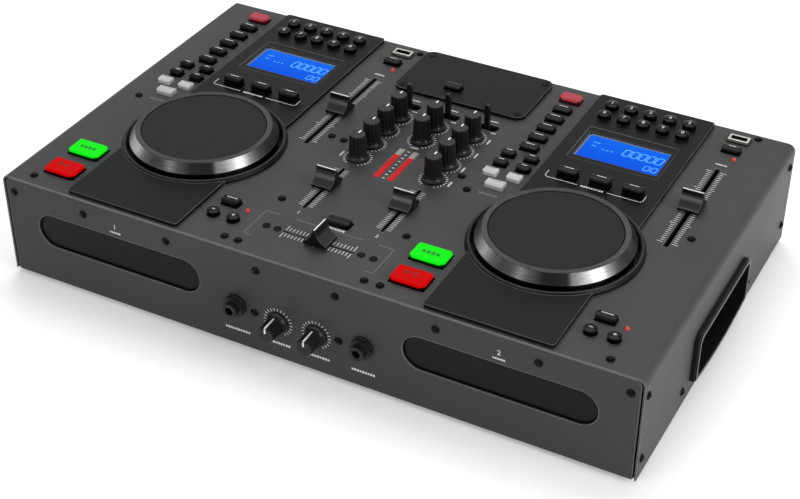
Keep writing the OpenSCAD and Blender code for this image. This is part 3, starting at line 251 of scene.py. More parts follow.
def turnedMaterial(name, side, look):
    material, tree, shader, place = startMaterial(name, {
        "Metallic": look["metallic"], "Roughness": look["roughness"], "Anisotropic": look["anisotropy"],
        "Specular IOR Level": turning["specular"]})
    centred = addNode(tree, "Mapping", links={
        "Vector": place, "Location": (-(deckCentres[side] + jogAxis[0]) * mm, -jogAxis[1] * mm, 0)})
    axes = addNode(tree, "SeparateXYZ", links={"Vector": centred.outputs["Vector"]})
    angle = addNode(tree, "Math", {"operation": "ARCTAN2"}, {0: axes.outputs["Y"], 1: axes.outputs["X"]})
    share = addNode(tree, "MapRange", links={"Value": angle.outputs[0], "From Min": -math.pi,
                                             "From Max": math.pi})
    # the painted reflections: a tone for each angle about the wheel's axis
    tones = addNode(tree, "ValToRGB", links={"Fac": share.outputs["Result"]})
    ramp = tones.color_ramp.elements
    ramp.remove(ramp[1])
    for i, (degrees, tone) in enumerate(look["tones"]):
        spot = ((degrees + look["turn"][side]) / 360 + 0.5) % 1.0
        stop = ramp[0] if i == 0 else ramp.new(spot)
        stop.position = spot
        stop.color = linear(tone)
    rise = addNode(tree, "MapRange", links={"Value": axes.outputs["Z"], "From Min": look["rimHeight"][0] * mm,
                                            "From Max": look["rimHeight"][1] * mm})
    tone = addNode(tree, "MixRGB", links={"Fac": rise.outputs["Result"], "Color1": tones.outputs["Color"],
                                          "Color2": linear(look["rim"])})
    flat = addNode(tree, "VectorMath", {"operation": "MULTIPLY"},
                   {0: centred.outputs["Vector"], 1: (1, 1, 0)})
    away = addNode(tree, "VectorMath", {"operation": "LENGTH"}, {0: flat.outputs["Vector"]})
    line = addNode(tree, "Math", {"operation": "SUBTRACT"}, {0: away.outputs["Value"], 1: axes.outputs["Z"]})
    line = addNode(tree, "Math", {"operation": "MULTIPLY"},
                   {0: line.outputs[0], 1: 1000 / look["linePitch"] / 2})
    about = addNode(tree, "Math", {"operation": "MULTIPLY"}, {0: angle.outputs[0], 1: turning["changes"]})
    lay = addNode(tree, "CombineXYZ", links={"X": about.outputs[0], "Y": line.outputs[0]})
    lines = addNode(tree, "TexNoise", links={"Vector": lay.outputs["Vector"], "Scale": 1.0, "Detail": 3.0,
                                             "Roughness": 0.7})
    shade = addNode(tree, "MapRange", links={
        "Value": lines.outputs["Fac"], "From Min": noiseSpan[0], "From Max": noiseSpan[1],
        "To Min": look["streak"][0], "To Max": look["streak"][1]})
    tone = addNode(tree, "VectorMath", {"operation": "SCALE"}, {"Vector": tone.outputs["Color"],
                                                                "Scale": shade.outputs["Result"]})
    tree.links.new(tone.outputs["Vector"], shader.inputs["Base Color"])
    edge = addNode(tree, "Bevel", {"samples": 4}, {"Radius": turning["edge"] * mm})
    relief = addNode(tree, "Bump", links={
        "Height": lines.outputs["Fac"], "Strength": turning["bump"], "Distance": turning["depth"] * mm,
        "Normal": edge.outputs["Normal"]})
    tree.links.new(relief.outputs["Normal"], shader.inputs["Normal"])
    return material


for side in deckCentres:
    for name, look in (("turnedAluminium", turnedRing), ("coatedDisc", turnedDisc)):
        finishes[name + side] = turnedMaterial(name + side, side, look)


# The backlit display window: an even blue that is lighter towards the far edge.
displayLook = {"base": "#000c38", "nearTone": "#0058f0", "farTone": "#0070fc", "strength": 0.85,
               "specular": 0.02, "roughness": 0.15, "near": 62, "far": 98}


def backlitMaterial(name, look):
    material, tree, shader, place = startMaterial(name, {
        "Roughness": look["roughness"], "IOR": defaultIor, "Specular IOR Level": look["specular"],
        "Base Color": linear(look["base"]), "Emission Strength": look["strength"]})
    axes = addNode(tree, "SeparateXYZ", links={"Vector": place})
    rise = addNode(tree, "MapRange", links={"Value": axes.outputs["Y"], "From Min": look["near"] * mm,
                                            "From Max": look["far"] * mm})
    blend = addNode(tree, "ValToRGB", links={"Fac": rise.outputs["Result"]})
    blend.color_ramp.elements[0].color = linear(look["nearTone"])
    blend.color_ramp.elements[1].color = linear(look["farTone"])
    tree.links.new(blend.outputs["Color"], shader.inputs["Emission Color"])
    return material


# The lamps and the meter are one node: the meter is red but for its pale segments between two
# places front to back, and what lies further from the middle than "lampsFrom" is a lamp.
meterLook = {"red": "#b80c10", "pale": "#8c8882", "paleFrom": 3.0, "paleTo": 13.0,
             "lamp": "#c8403a", "lampsFrom": 20, "roughness": 0.3, "specular": 0.1, "strength": 0.2}


def meterMaterial(name, look):
    material, tree, shader, place = startMaterial(name, {
        "Roughness": look["roughness"], "IOR": defaultIor, "Specular IOR Level": look["specular"],
        "Emission Strength": look["strength"]})
    axes = addNode(tree, "SeparateXYZ", links={"Vector": place})
    over = addNode(tree, "Math", {"operation": "GREATER_THAN"},
                   {0: axes.outputs["Y"], 1: look["paleFrom"] * mm})
    below = addNode(tree, "Math", {"operation": "LESS_THAN"}, {0: axes.outputs["Y"], 1: look["paleTo"] * mm})
    pale = addNode(tree, "Math", {"operation": "MULTIPLY"}, {0: over.outputs[0], 1: below.outputs[0]})
    tint = addNode(tree, "MixRGB", links={"Fac": pale.outputs[0], "Color1": linear(look["red"]),
                                          "Color2": linear(look["pale"])})
    aside = addNode(tree, "Math", {"operation": "ABSOLUTE"}, {0: axes.outputs["X"]})
    aside = addNode(tree, "Math", {"operation": "GREATER_THAN"},
                    {0: aside.outputs[0], 1: look["lampsFrom"] * mm})
    tint = addNode(tree, "MixRGB", links={"Fac": aside.outputs[0], "Color1": tint.outputs["Color"],
                                          "Color2": linear(look["lamp"])})
    tree.links.new(tint.outputs["Color"], shader.inputs["Base Color"])
    tree.links.new(tint.outputs["Color"], shader.inputs["Emission Color"])
    return material


finishes["backlitWindow"] = backlitMaterial("backlitWindow", displayLook)
finishes["meterLens"] = meterMaterial("meterLens", meterLook)
print("finishes made:", len(finishes))

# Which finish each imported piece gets.
nodeFinishes = {
    "powderCoatedSteel": ["base_tray", "top_cover", "front_panel"],
    "satinAbs": ["deck_plates", "mixer_plate"],
    "polishedAbs": ["crossfader"],
    "smoothDoorAbs": ["disc_tray_a", "disc_tray_b"],
    "phenolicResin": ["control_bodies"],
    "backlitWindow": ["displays"],
    "texturedAbs": ["carry_handles", "front_jacks", "usb_sockets", "rear_sockets", "power_rocker"],
    "footRubber": ["feet"],
    "blackenedSteel": ["panel_screws"],
    "meterLens": ["indicators"],
    "zincPlatedSteel": ["disc_drives"],
    "solderResist": ["circuit_boards"],
    "siliconeRubber": ["mixer_keys"],
    "whiteSilicone": ["white_keys_a", "white_keys_b"],
    "litGreenKey": ["cue_key_a", "cue_key_b"],
    "litRedKey": ["play_key_a", "play_key_b"],
    "tintedRedKey": ["eject_key_a", "eject_key_b"],
}
for side in deckCentres:
    nodeFinishes["turnedAluminium" + side] = ["jog_wheel_" + side]
    nodeFinishes["coatedDisc" + side] = ["jog_cap_" + side]
    nodeFinishes["polishedAbs"] += ["pitch_fader_" + side, "line_fader_" + side]
    nodeFinishes["siliconeRubber"] += [group + side for group in ("side_keys_", "number_keys_", "loop_keys_",
                                                                  "pitch_keys_")]
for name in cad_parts:                  # every knob and switch lever
    if "knob" in name or "switch" in name:
        nodeFinishes["texturedAbs"].append(name)
for finish, names in nodeFinishes.items():
    for name in names:
        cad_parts[name].material_slots[0].material = finishes[finish]
print("packed pieces dressed:", sum(len(names) for names in nodeFinishes.values()))


def placePiece(bm, name, finish, body):
    bmesh.ops.scale(bm, vec=(mm, mm, mm), verts=bm.verts)
    mesh = bpy.data.meshes.new(name)
    bm.to_mesh(mesh)
    bm.free()
    piece = bpy.data.objects.new(name, mesh)
    bpy.context.scene.collection.objects.link(piece)
    mesh.materials.append(finishes[finish])
    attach(piece, body)


# The planes that things are printed or set on: x and y across the face, z out of it
def onTop(z=coverTop):
    return Matrix.Translation((0, 0, z))


def onFront():
    return Matrix.Translation((0, frontFace, footHeight)) @ Matrix.Rotation(math.radians(90), 4, "X")


def onRear(x, height):
    return (Matrix.Translation((0, rearFace, footHeight)) @ Matrix.Rotation(math.radians(180), 4, "Z")
            @ Matrix.Rotation(math.radians(90), 4, "X") @ Matrix.Translation((-x, height, 0)))


def addBlock(bm, place, size):
    bmesh.ops.create_cube(bm, size=1, matrix=place @ Matrix.Diagonal((*size, 1)))


# A bar of ink: centre, size along its own axes and turn in degrees. It is sunk a little in its face
# and thicker than real ink, so that the two faces never meet.
ink = {"thickness": 0.08, "sunk": 0.02}


def addBar(bm, centre, size, turn=0.0, thickness=ink["thickness"], face=Matrix.Identity(4)):
    place = (face @ Matrix.Translation((centre[0], centre[1], thickness / 2 - ink["sunk"]))
             @ Matrix.Rotation(math.radians(turn), 4, "Z"))
    addBlock(bm, place, (*size, thickness))


# A printed line through points, with bars of one width.
def addLine(bm, points, width, face):
    for (x0, y0), (x1, y1) in zip(points, points[1:]):
        addBar(bm, ((x0 + x1) / 2, (y0 + y1) / 2), (math.hypot(x1 - x0, y1 - y0) + width, width),
               math.degrees(math.atan2(y1 - y0, x1 - x0)), face=face)


# A caption is a row of bare blocks: sizes are shares of its height, and every third block is lower.
caption = {"pitch": 1.05, "block": 0.72, "tall": 0.98, "low": 0.8}


def addCaption(bm, centre, blocks, height, face, turn=0.0):
    pitch = height * caption["pitch"]
    swing = Matrix.Rotation(math.radians(turn), 2)
    for i in range(blocks):
        step = swing @ Vector(((i - (blocks - 1) / 2) * pitch, 0))
        tall = height * (caption["tall"] if i % 3 else caption["low"])
        addBar(bm, (centre[0] + step.x, centre[1] + step.y), (pitch * caption["block"], tall), turn,
               face=face)


digit = {"fontSize": 1.38, "halfThickness": 0.06}    # the font's size is a share of the digit's height


def addDigit(bm, text, centre, height, face, lift):
    curve = bpy.data.curves.new("digit", "FONT")
    curve.body = text
    curve.size = height * digit["fontSize"]
    curve.align_x = "CENTER"
    curve.align_y = "CENTER"
    curve.extrude = digit["halfThickness"]
    holder = bpy.data.objects.new("digit", curve)
    mesh = bpy.data.meshes.new_from_object(holder)
    mesh.transform(face @ Matrix.Translation((centre[0], centre[1], lift)))
    bm.from_mesh(mesh)
    bpy.data.objects.remove(holder)
    bpy.data.meshes.remove(mesh)
    bpy.data.curves.remove(curve)


# A ring of ticks round a knob, open at the bottom.
def addTicks(bm, centre, look, face):
    for i in range(look["ticks"]):
        turn = look["sweep"] * (2 * i / (look["ticks"] - 1) - 1)
        a = math.radians(turn)
        addBar(bm, (centre[0] + look["radius"] * math.sin(a), centre[1] + look["radius"] * math.cos(a)),
               look["tick"], -turn, face=face)


# Ticks on both sides of a fader's slot, with a longer one at every few steps.
def addScale(bm, middle, look):
    for i in range(look["ticks"]):
        along = (i - (look["ticks"] - 1) / 2) * look["step"]
        length = look["short"] if i % look["longEvery"] else look["long"]
        for s in (-1, 1):
            spot, size = (s * (look["clear"] + length / 2), along), (length, look["width"])
            if look["slot"] == "sideways":
                spot, size = spot[::-1], size[::-1]
            addBar(bm, (middle[0] + spot[0], middle[1] + spot[1]), size, face=top)


# Scales on the cover: rings round the knobs, ticks beside the faders and the level meter. The pitch
# fader's place is from its deck's middle, and "rest" is where a fader's cap stands.
knobRings = {"columns": {"a": -31.95, "b": 31.05}, "rows": ("gain", "treble", "mid", "bass"),
             "firstRow": 51.2, "rowPitch": 21.9, "centreColumn": -0.95,
             "radius": 10.3, "tick": (0.6, 1.9), "ticks": 21, "sweep": 150}
lineScale = {"columns": {"a": -33.95, "b": 29.25}, "middle": -61.0, "rest": -57, "slot": "lengthwise",
             "ticks": 25, "step": 2.2, "clear": 2.3, "width": 0.42, "short": 3.6, "long": 3.6,
             "longEvery": 12}
crossScale = {"middle": (-3.25, -122.3), "rest": -1.75, "slot": "sideways", "ticks": 21, "step": 2.7,
              "clear": 1.9, "width": 0.55, "short": 3.8, "long": 5.6, "longEvery": 10}
pitchScale = {"middle": (69.3, 41.2), "rest": 39, "slot": "lengthwise", "ticks": 41, "step": 2.56,
              "clear": 3.2, "width": 0.5, "short": 3.0, "long": 4.6, "longEvery": 10}
meterScale = {"middle": (-2.2, -9.5), "length": 40, "ticks": 9, "tick": (2.2, 0.9)}
top, plate, front = onTop(), onTop(plateTop), onFront()
look = knobRings
knobPlaces = {name + "_" + side: (x, look["firstRow"] - i * look["rowPitch"])
              for side, x in look["columns"].items() for i, name in enumerate(look["rows"])}
for i, name in enumerate(("master", "monitor")):
    knobPlaces[name] = (look["centreColumn"], look["firstRow"] - i * look["rowPitch"])
bm = bmesh.new()
for centre in knobPlaces.values():
    addTicks(bm, centre, knobRings, top)
for x in lineScale["columns"].values():
    addScale(bm, (x, lineScale["middle"]), lineScale)
addScale(bm, crossScale["middle"], crossScale)
for centre in deckCentres.values():
    addScale(bm, (centre + pitchScale["middle"][0], pitchScale["middle"][1]), pitchScale)
look = meterScale
for i in range(look["ticks"]):
    along = (i / (look["ticks"] - 1) - 0.5) * look["length"]
    addBar(bm, (look["middle"][0], look["middle"][1] + along), look["tick"], face=top)
placePiece(bm, "coverScales", "printInk", "housing")

# A thin frame round the crossfader, open between its arms, and a faint caption beside each jog wheel
crossFrame = {"left": -55.25, "right": 47.75, "near": -137.0, "far": -106.0, "foot": 6, "arm": 12,
              "barFrom": 25, "line": 0.45}
deckCaption = {"middle": (-66.5, -13.5), "blocks": 9, "height": 1.6}
look = crossFrame
bm = bmesh.new()
left, right, near, far = look["left"], look["right"], look["near"], look["far"]
for points in ([(left + look["foot"], near), (left, near), (left, far), (left + look["arm"], far)],
               [(left + look["barFrom"], far), (right - look["barFrom"], far)],
               [(right - look["arm"], far), (right, far), (right, near), (right - look["foot"], near)]):
    addLine(bm, points, look["line"], top)
look = deckCaption
for centre in deckCentres.values():
    addCaption(bm, (centre + look["middle"][0], look["middle"][1]), look["blocks"], look["height"], top)
placePiece(bm, "coverFrames", "faintInk", "housing")

# A bracket under each deck's loop keys, broken in the middle for its caption
loopBracket = {"left": -38.8, "right": 36.9, "low": 24.2, "high": 32.7, "corner": 1.5,
               "gap": (-13.5, 10.5), "line": 0.6, "captionAt": -1.5, "blocks": 9, "height": 1.9}
look = loopBracket
bm = bmesh.new()
for centre in deckCentres.values():
    left, right, low, high = centre + look["left"], centre + look["right"], look["low"], look["high"]
    corner = look["corner"]
    addLine(bm, [(left, high), (left, low + corner), (left + corner, low), (centre + look["gap"][0], low)],
            look["line"], plate)
    addLine(bm, [(centre + look["gap"][1], low), (right - corner, low), (right, low + corner), (right, high)],
            look["line"], plate)
placePiece(bm, "plateFrames", "printInk", "housing")

# Captions of the pitch faders, loop keys, knobs, switches and mixer key, and the channels' numbers
pitchCaption = {"middle": (69.3, 103.4), "blocks": 5, "height": 1.7}
knobCaption = {"beside": 13.6, "under": 11.8, "blocks": 4, "height": 1.7}
switchCaption = {"columns": {-33.25: 6, 0.55: 5, 34.05: 6}, "row": 80.2, "height": 1.6,
                 "endsAway": 8, "endsRow": 64.4, "endBlocks": 3, "endHeight": 1.4}
mixerKeyCaption = {"middle": (-1.25, -103.6), "blocks": 8, "height": 2.0}
channelDigit = {"row": -97.5, "height": 3.6, "lift": 0.02}
bm = bmesh.new()
for centre in deckCentres.values():
    look = pitchCaption
    addCaption(bm, (centre + look["middle"][0], look["middle"][1]), look["blocks"], look["height"], top)
    look = loopBracket
    addCaption(bm, (centre + look["captionAt"], look["low"]), look["blocks"], look["height"], plate)
look = knobCaption
for name, (x, y) in knobPlaces.items():
    outwards = {"a": -1, "b": 1}.get(name[-1], 0)    # the middle column's captions stand under its knobs
    middle = (x + outwards * look["beside"], y) if outwards else (x, y - look["under"])
    addCaption(bm, middle, look["blocks"], look["height"], top, 90 if outwards else 0)
look = switchCaption
for x, blocks in look["columns"].items():
    addCaption(bm, (x, look["row"]), blocks, look["height"], top)
    for s in (-1, 1):
        addCaption(bm, (x + s * look["endsAway"], look["endsRow"]), look["endBlocks"], look["endHeight"], top)
addCaption(bm, mixerKeyCaption["middle"], mixerKeyCaption["blocks"], mixerKeyCaption["height"], top)
look = channelDigit
for text, x in zip("12", lineScale["columns"].values()):
    addDigit(bm, text, (x, look["row"]), look["height"], top, look["lift"])
placePiece(bm, "coverCaptions", "printInk", "housing")

# Legends on the black keys' tops. "legends" has each key's middle, from its deck's, and a width, and
# "top" is the keys' height over the cover.
keys = {"sideColumn": -65.3, "sideRow": 119.6, "sidePitch": 15.65, "smallColumns": (-75.6, -57.1),
        "smallRows": (42.3, 27.8), "loopMiddle": 2.2, "loopRow": 31.2, "loopPitch": 25.4,
        "tempo": (64.6, -110), "memory": (69.8, 125.2)}
keyGroups = {
    "side": {"top": 4.2, "legends": [(keys["sideColumn"], keys["sideRow"] - keys["sidePitch"] * i, 7.0)
                                     for i in range(5)]
                                    + [(x, y, 5.0) for x in keys["smallColumns"] for y in keys["smallRows"]]},
    "loop": {"top": 10.0, "legends": [(keys["loopMiddle"] + keys["loopPitch"] * i, keys["loopRow"], 8.0)
                                      for i in (-1, 0, 1)]},
    "pitch_key_set": {"top": 4.2, "legends": [(*keys["tempo"], 8.5), (*keys["memory"], 6.0)]},
}
legend = {"height": 1.4, "perBlock": 1.5, "back": 1.2, "sunk": 0.12}
bendKeys = {"columns": {60.4: (0,), 77: (0, 90)}, "row": -126.8, "bar": (2.6, 0.6)}    # a minus and a plus
for group, look in keyGroups.items():
    for side, centre in deckCentres.items():
        bm = bmesh.new()
        for x, y, width in look["legends"]:
            addCaption(bm, (centre + x, y + legend["back"]), round(width / legend["perBlock"]),
                       legend["height"], onTop(coverTop + look["top"] - legend["sunk"]))
        if group == "pitch_key_set":
            for x, turns in bendKeys["columns"].items():
                for turn in turns:
                    addBar(bm, (centre + x, bendKeys["row"]), bendKeys["bar"], turn,
                           face=onTop(coverTop + look["top"]))
        placePiece(bm, group + "_legends_" + side, "printInk", group + "_" + side)

# A short line on each white key: its key's middle, from the deck's, and its length
whiteLegends = {"bars": ((-76.8, 13.7, 6.0), (-57.8, 13.7, 6.0), (-66.5, -0.6, 7.5)), "top": 3.75,
                "back": 1.6, "line": 0.5}
look = whiteLegends
for side, centre in deckCentres.items():
    bm = bmesh.new()
    for x, y, width in look["bars"]:
        addBar(bm, (centre + x, y + look["back"]), (width, look["line"]), face=onTop(coverTop + look["top"]))
    placePiece(bm, "white_legends_" + side, "faintInk", "white_" + side)

# A pale strip along the cover's front edge: a painted highlight where the edge catches the light
edgeHighlightStrip = {"reach": 245.0, "height": 0.7, "depth": 0.12, "forward": 0.3}
look = edgeHighlightStrip
bm = bmesh.new()
addBlock(bm, Matrix.Translation((0, frontFace - look["forward"], coverTop - look["height"] / 2)),
         (2 * look["reach"], look["depth"], look["height"]))
placePiece(bm, "coverBareEdge", "bareSteel", "housing")

# White pointers on the knobs: a line on the top face that runs on down the side
pointer = {"height": 21.0, "inner": 1.9, "outer": 5.5, "width": 1.2, "thickness": 0.5, "sunk": 0.45,
           "down": 5.0, "sideRadius": 6.25, "sideSunk": 0.2, "edge": 0.6}
look = pointer
for body, (x, y) in knobPlaces.items():
    bm = bmesh.new()
    length = look["outer"] - look["inner"]
    addBar(bm, (x, y + look["inner"] + length / 2), (look["width"], length), thickness=look["thickness"],
           face=onTop(coverTop + look["height"] - look["sunk"]))
    addBar(bm, (x, y + look["sideRadius"] - look["sideSunk"]), (look["width"], look["thickness"]),
           thickness=look["down"], face=onTop(coverTop + look["height"] - look["down"] - look["edge"]))
    placePiece(bm, body + "_pointer", "whitePaint", body)

# A white line along each fader cap's ridge, where the cap stands at rest
ridge = {"top": 15.0, "length": 15.6, "width": 0.9, "thickness": 0.3, "sunk": 0.28}
faders = {"pitch_" + side: (centre + pitchScale["middle"][0], pitchScale["rest"])
          for side, centre in deckCentres.items()}
faders.update({"line_" + side: (x, lineScale["rest"]) for side, x in lineScale["columns"].items()})
faders["crossfade"] = (crossScale["rest"], crossScale["middle"][1])
look = ridge
for body, centre in faders.items():
    bm = bmesh.new()
    addBar(bm, centre, (look["length"], look["width"]), 90 if body == "crossfade" else 0, look["thickness"],
           onTop(coverTop + look["top"] - look["sunk"]))
    placePiece(bm, body + "_ridge", "whitePaint", body)

# The front knobs' pointers, along the knob and up its end face, and the print on the front panel
frontKnobs = {"places": {"mic": (-17.55, 31.8), "phones": (13.25, 31.8)},
              "lineWidth": 1.2, "lineDepth": 0.5, "along": {"out": 11.0, "up": 6.4, "length": 12.4},
              "end": {"out": 17.31, "up": 3.7, "length": 3.6},
              "radius": 10.6, "tick": (0.55, 2.2), "ticks": 21, "sweep": 150}
frontCaptions = {"columns": {-17.55: 9, 13.25: 10, -51.75: 10, 50.25: 9}, "row": 13.0, "height": 2.0}
trayPrint = {"row": 63.5, "blocks": 6, "height": 1.5, "digitRow": 68.4, "digitHeight": 4.2, "lift": 0.02}
look = frontKnobs
for body, (x, height) in look["places"].items():
    bm = bmesh.new()
    for line, size in ((look["along"], (look["lineWidth"], look["along"]["length"], look["lineDepth"])),
                       (look["end"], (look["lineWidth"], look["lineDepth"], look["end"]["length"]))):
        addBlock(bm, Matrix.Translation((x, frontFace - line["out"], footHeight + height + line["up"])), size)
    placePiece(bm, body + "_pointer", "whitePaint", body)
bm = bmesh.new()
for place in look["places"].values():
    addTicks(bm, place, look, front)
look = frontCaptions
for x, blocks in look["columns"].items():
    addCaption(bm, (x, look["row"]), blocks, look["height"], front)
look = trayPrint
for text, x in zip("12", trayCentres.values()):
    addCaption(bm, (x, look["row"]), look["blocks"], look["height"], front)
    addDigit(bm, text, (x, look["digitRow"]), look["digitHeight"], front, look["lift"])
placePiece(bm, "frontPrint", "printInk", "housing")

# Digits on the round keys, from 1 to 9 and then 0
numberKeys = {"digit": 3.6, "top": 7.4, "pitch": 15.8, "perRow": 5, "rows": (138.2, 122.2), "lift": -0.04}
look = numberKeys
for side, centre in deckCentres.items():
    bm = bmesh.new()
    for row, y in enumerate(look["rows"]):
        for i in range(look["perRow"]):
            value = (i + 1 + look["perRow"] * row) % 10
            addDigit(bm, str(value), (centre + (i - 2) * look["pitch"], y), look["digit"],
                     onTop(coverTop + look["top"]), look["lift"])
    placePiece(bm, "number_digits_" + side, "printInk", "number_" + side)

# Play triangle and pause bars on the red keys, and a caption on the green ones
bigKeys = {"top": 3.8, "play": (-69.5, -129), "triangle": 2.9, "triangleAt": -2.2, "thickness": 0.12,
           "triangleLift": 0.05, "pauseAt": (3.0, 5.2), "pauseBar": (1.1, 4.8),
           "cue": (-67.3, -102), "cueBlocks": 4, "cueHeight": 3.4}
look = bigKeys
face = onTop(coverTop + look["top"])
for side, centre in deckCentres.items():
    bm = bmesh.new()
    x, y = centre + look["play"][0], look["play"][1]
    bmesh.ops.create_cone(bm, cap_ends=True, segments=3, radius1=look["triangle"], radius2=look["triangle"],
                          depth=look["thickness"],
                          matrix=face @ Matrix.Translation((x + look["triangleAt"], y, look["triangleLift"]))
                          @ Matrix.Rotation(math.radians(-90), 4, "Z"))
    for away in look["pauseAt"]:
        addBar(bm, (x + away, y), look["pauseBar"], face=face)
    placePiece(bm, "play_mark_" + side, "darkRedInk", "play_" + side)
    bm = bmesh.new()
    addCaption(bm, (centre + look["cue"][0], look["cue"][1]), look["cueBlocks"], look["cueHeight"], face)
    placePiece(bm, "cue_mark_" + side, "darkGreenInk", "cue_" + side)

# The display's two rows of zeros and its dashes, and the paler border along two of its edges
displayMarks = {
    "glass": 1.6, "slant": 0.12,
    "rows": ({"zeros": 5, "first": 2.6, "y": 83.5, "pitch": 6.4, "height": 9.0, "width": 4.7, "stroke": 1.0},
             {"zeros": 2, "first": 23, "y": 70.4, "pitch": 5.8, "height": 6.4, "width": 4.0, "stroke": 0.8}),
    "dashes": ((-23, 87, 5.4), (-23.6, 82, 3.6), (-15.5, 80, 2.0), (-12, 80, 2.0), (-8.5, 80, 2.0)),
    "dashWidth": 0.9,
    "border": (((0, 96.6), (65.4, 1.6)), ((-31.9, 80.2), (1.6, 34.4))),
}


# A zero of six segments. The uprights lean a little less than the digit does.
def addZero(bm, x, look, slant, face):
    h, w, stroke = look["height"] / 2, look["width"] / 2, look["stroke"]
    lean = -math.degrees(slant) * 0.9
    for dx, dy in ((0, h), (w, h / 2), (w, -h / 2), (0, -h), (-w, -h / 2), (-w, h / 2)):
        size, turn = ((stroke, h - stroke * 0.6), lean) if dx else ((2 * w - stroke, stroke), 0)
        addBar(bm, (x + dx + slant * dy, look["y"] + dy), size, turn, face=face)


look = displayMarks
glass = onTop(coverTop + look["glass"])
for side, centre in deckCentres.items():
    bm = bmesh.new()
    for row in look["rows"]:
        for i in range(row["zeros"]):
            addZero(bm, centre + row["first"] + i * row["pitch"], row, look["slant"], glass)
    for x, y, width in look["dashes"]:
        addBar(bm, (centre + x, y), (width, look["dashWidth"]), face=glass)
    placePiece(bm, "display_marks_" + side, "displayInk", "housing")
    bm = bmesh.new()
    for (x, y), size in look["border"]:
        addBar(bm, (centre + x, y), size, face=glass)
    placePiece(bm, "display_border_" + side, "displayBorder", "housing")
print("marks placed")


# A ring or sleeve: its section (radius, height) spun about the face's outward axis.
def addTurned(bm, section, place, steps=32):
    part = bmesh.new()
    verts = [part.verts.new((radius, 0, height)) for radius, height in section]
    edges = [part.edges.new(pair) for pair in zip(verts, verts[1:] + verts[:1])]
    bmesh.ops.spin(part, geom=verts + edges, cent=(0, 0, 0), axis=(0, 0, 1), angle=2 * math.pi, steps=steps,
                   use_merge=True)
    bmesh.ops.remove_doubles(part, verts=part.verts, dist=0.0001)
    bmesh.ops.recalc_face_normals(part, faces=part.faces)
    part.transform(place)
    mesh = bpy.data.meshes.new("part")
    part.to_mesh(mesh)
    part.free()
    bm.from_mesh(mesh)
    bpy.data.meshes.remove(mesh)


# Pressed shells of the memory-stick sockets: four bars round each opening
usbShell = {"at": (70, 143), "hole": (12.5, 5.12), "wall": 1.6, "low": 1.25, "high": 2.06}
look = usbShell
bm = bmesh.new()
for centre in deckCentres.values():
    (w, l), wall = look["hole"], look["wall"]
    middle = Vector((centre + look["at"][0], look["at"][1], (look["low"] + look["high"]) / 2))
    for x, y, a, b in ((0, (l + wall) / 2, w + 2 * wall, wall), (0, -(l + wall) / 2, w + 2 * wall, wall),
                       ((w + wall) / 2, 0, wall, l), (-(w + wall) / 2, 0, wall, l)):
        addBlock(bm, top @ Matrix.Translation(middle + Vector((x, y, 0))), (a, b, look["high"] - look["low"]))
placePiece(bm, "usbShells", "nickelPlate", "housing")

# Rear sockets: plated sleeves with a coloured ring, the earth post and the inlet's pins.
# Sections are pairs of radius and height over the rear panel.
rearSockets = {
    "columns": (-90, -50, 30, 70), "rows": {26: "redNylon", 50: "whiteNylon"},
    "sleeve": ((3.85, 0.6), (4.24, 0.6), (4.24, 8.66), (3.94, 9.06), (3.2, 9.06), (3.2, 8.96), (3.85, 8.56)),
    "ring": ((1.7, 8.8), (3.2, 8.8), (3.2, 8.98), (1.7, 9.04)),
    "earthAt": (-10, 26), "earth": ((1.9, 10.9), (4.0, 10.9), (4.55, 10.6), (4.55, 4.4), (4.0, 4.05),
                                    (2.05, 4.05), (2.05, 13.0), (1.9, 13.0)),
    "inletAt": (sideFace - 45, 40), "pins": ((-7, -2), (7, -2), (0, 2)), "pin": (2.1, 4.1, 12.6),
    "pinMiddle": -9.2,
}
look = rearSockets
bm = bmesh.new()
for x in look["columns"]:
    for height in look["rows"]:
        addTurned(bm, look["sleeve"], onRear(x, height))
placePiece(bm, "phonoSleeves", "nickelPlate", "housing")
for height, name in look["rows"].items():
    bm = bmesh.new()
    for x in look["columns"]:
        addTurned(bm, look["ring"], onRear(x, height))
    placePiece(bm, name + "Rings", name, "housing")
bm = bmesh.new()
addTurned(bm, look["earth"], onRear(*look["earthAt"]))
for x, y in look["pins"]:
    addBlock(bm, onRear(*look["inletAt"]) @ Matrix.Translation((x, y, look["pinMiddle"])), look["pin"])
placePiece(bm, "earthPostAndPins", "nickelPlate", "housing")

# On and off marks on the rocker's two sloping halves, as a bar and a ring
rocker = {"at": (sideFace - 82, 40), "tilt": 8, "pivot": -2.5, "slope": 5.2, "away": 5.0, "face": 3.86,
          "bar": (0.8, 4.2), "ring": ((1.5, -0.03), (2.2, -0.03), (2.2, 0.06), (1.5, 0.06))}
look = rocker
bm = bmesh.new()
swing = (onRear(*look["at"]) @ Matrix.Translation((0, 0, look["pivot"]))
         @ Matrix.Rotation(math.radians(look["tilt"]), 4, "X"))
barFace, ringFace = [swing @ Matrix.Translation((0, s * look["away"], look["face"]))
                     @ Matrix.Rotation(math.radians(s * look["slope"]), 4, "X") for s in (1, -1)]
addTurned(bm, look["ring"], ringFace)
addBar(bm, (0, 0), look["bar"], face=barFace)
placePiece(bm, "rockerMarks", "printInk", "power")
print("sockets plated")

# A pale table. The camera sees it glow more the further away it is, so that it runs into the
# white behind it: "seen" is the glow near and far, and "reach" the distances, in metres.
table = {"size": 6.0, "tone": "#fbfbfb", "seen": (0.17, 1.0), "reach": (0.6, 1.7)}


# 1 for what the camera sees by itself, in a reflection or through glass, 0 for light on the piece
def seenShare(tree):
    rays = addNode(tree, "LightPath").outputs
    direct = addNode(tree, "Math", {"operation": "ADD"}, {0: rays["Is Camera Ray"], 1: rays["Is Glossy Ray"]})
    return addNode(tree, "Math", {"operation": "ADD", "use_clamp": True},
                   {0: direct.outputs[0], 1: rays["Is Transmission Ray"]}).outputs[0]


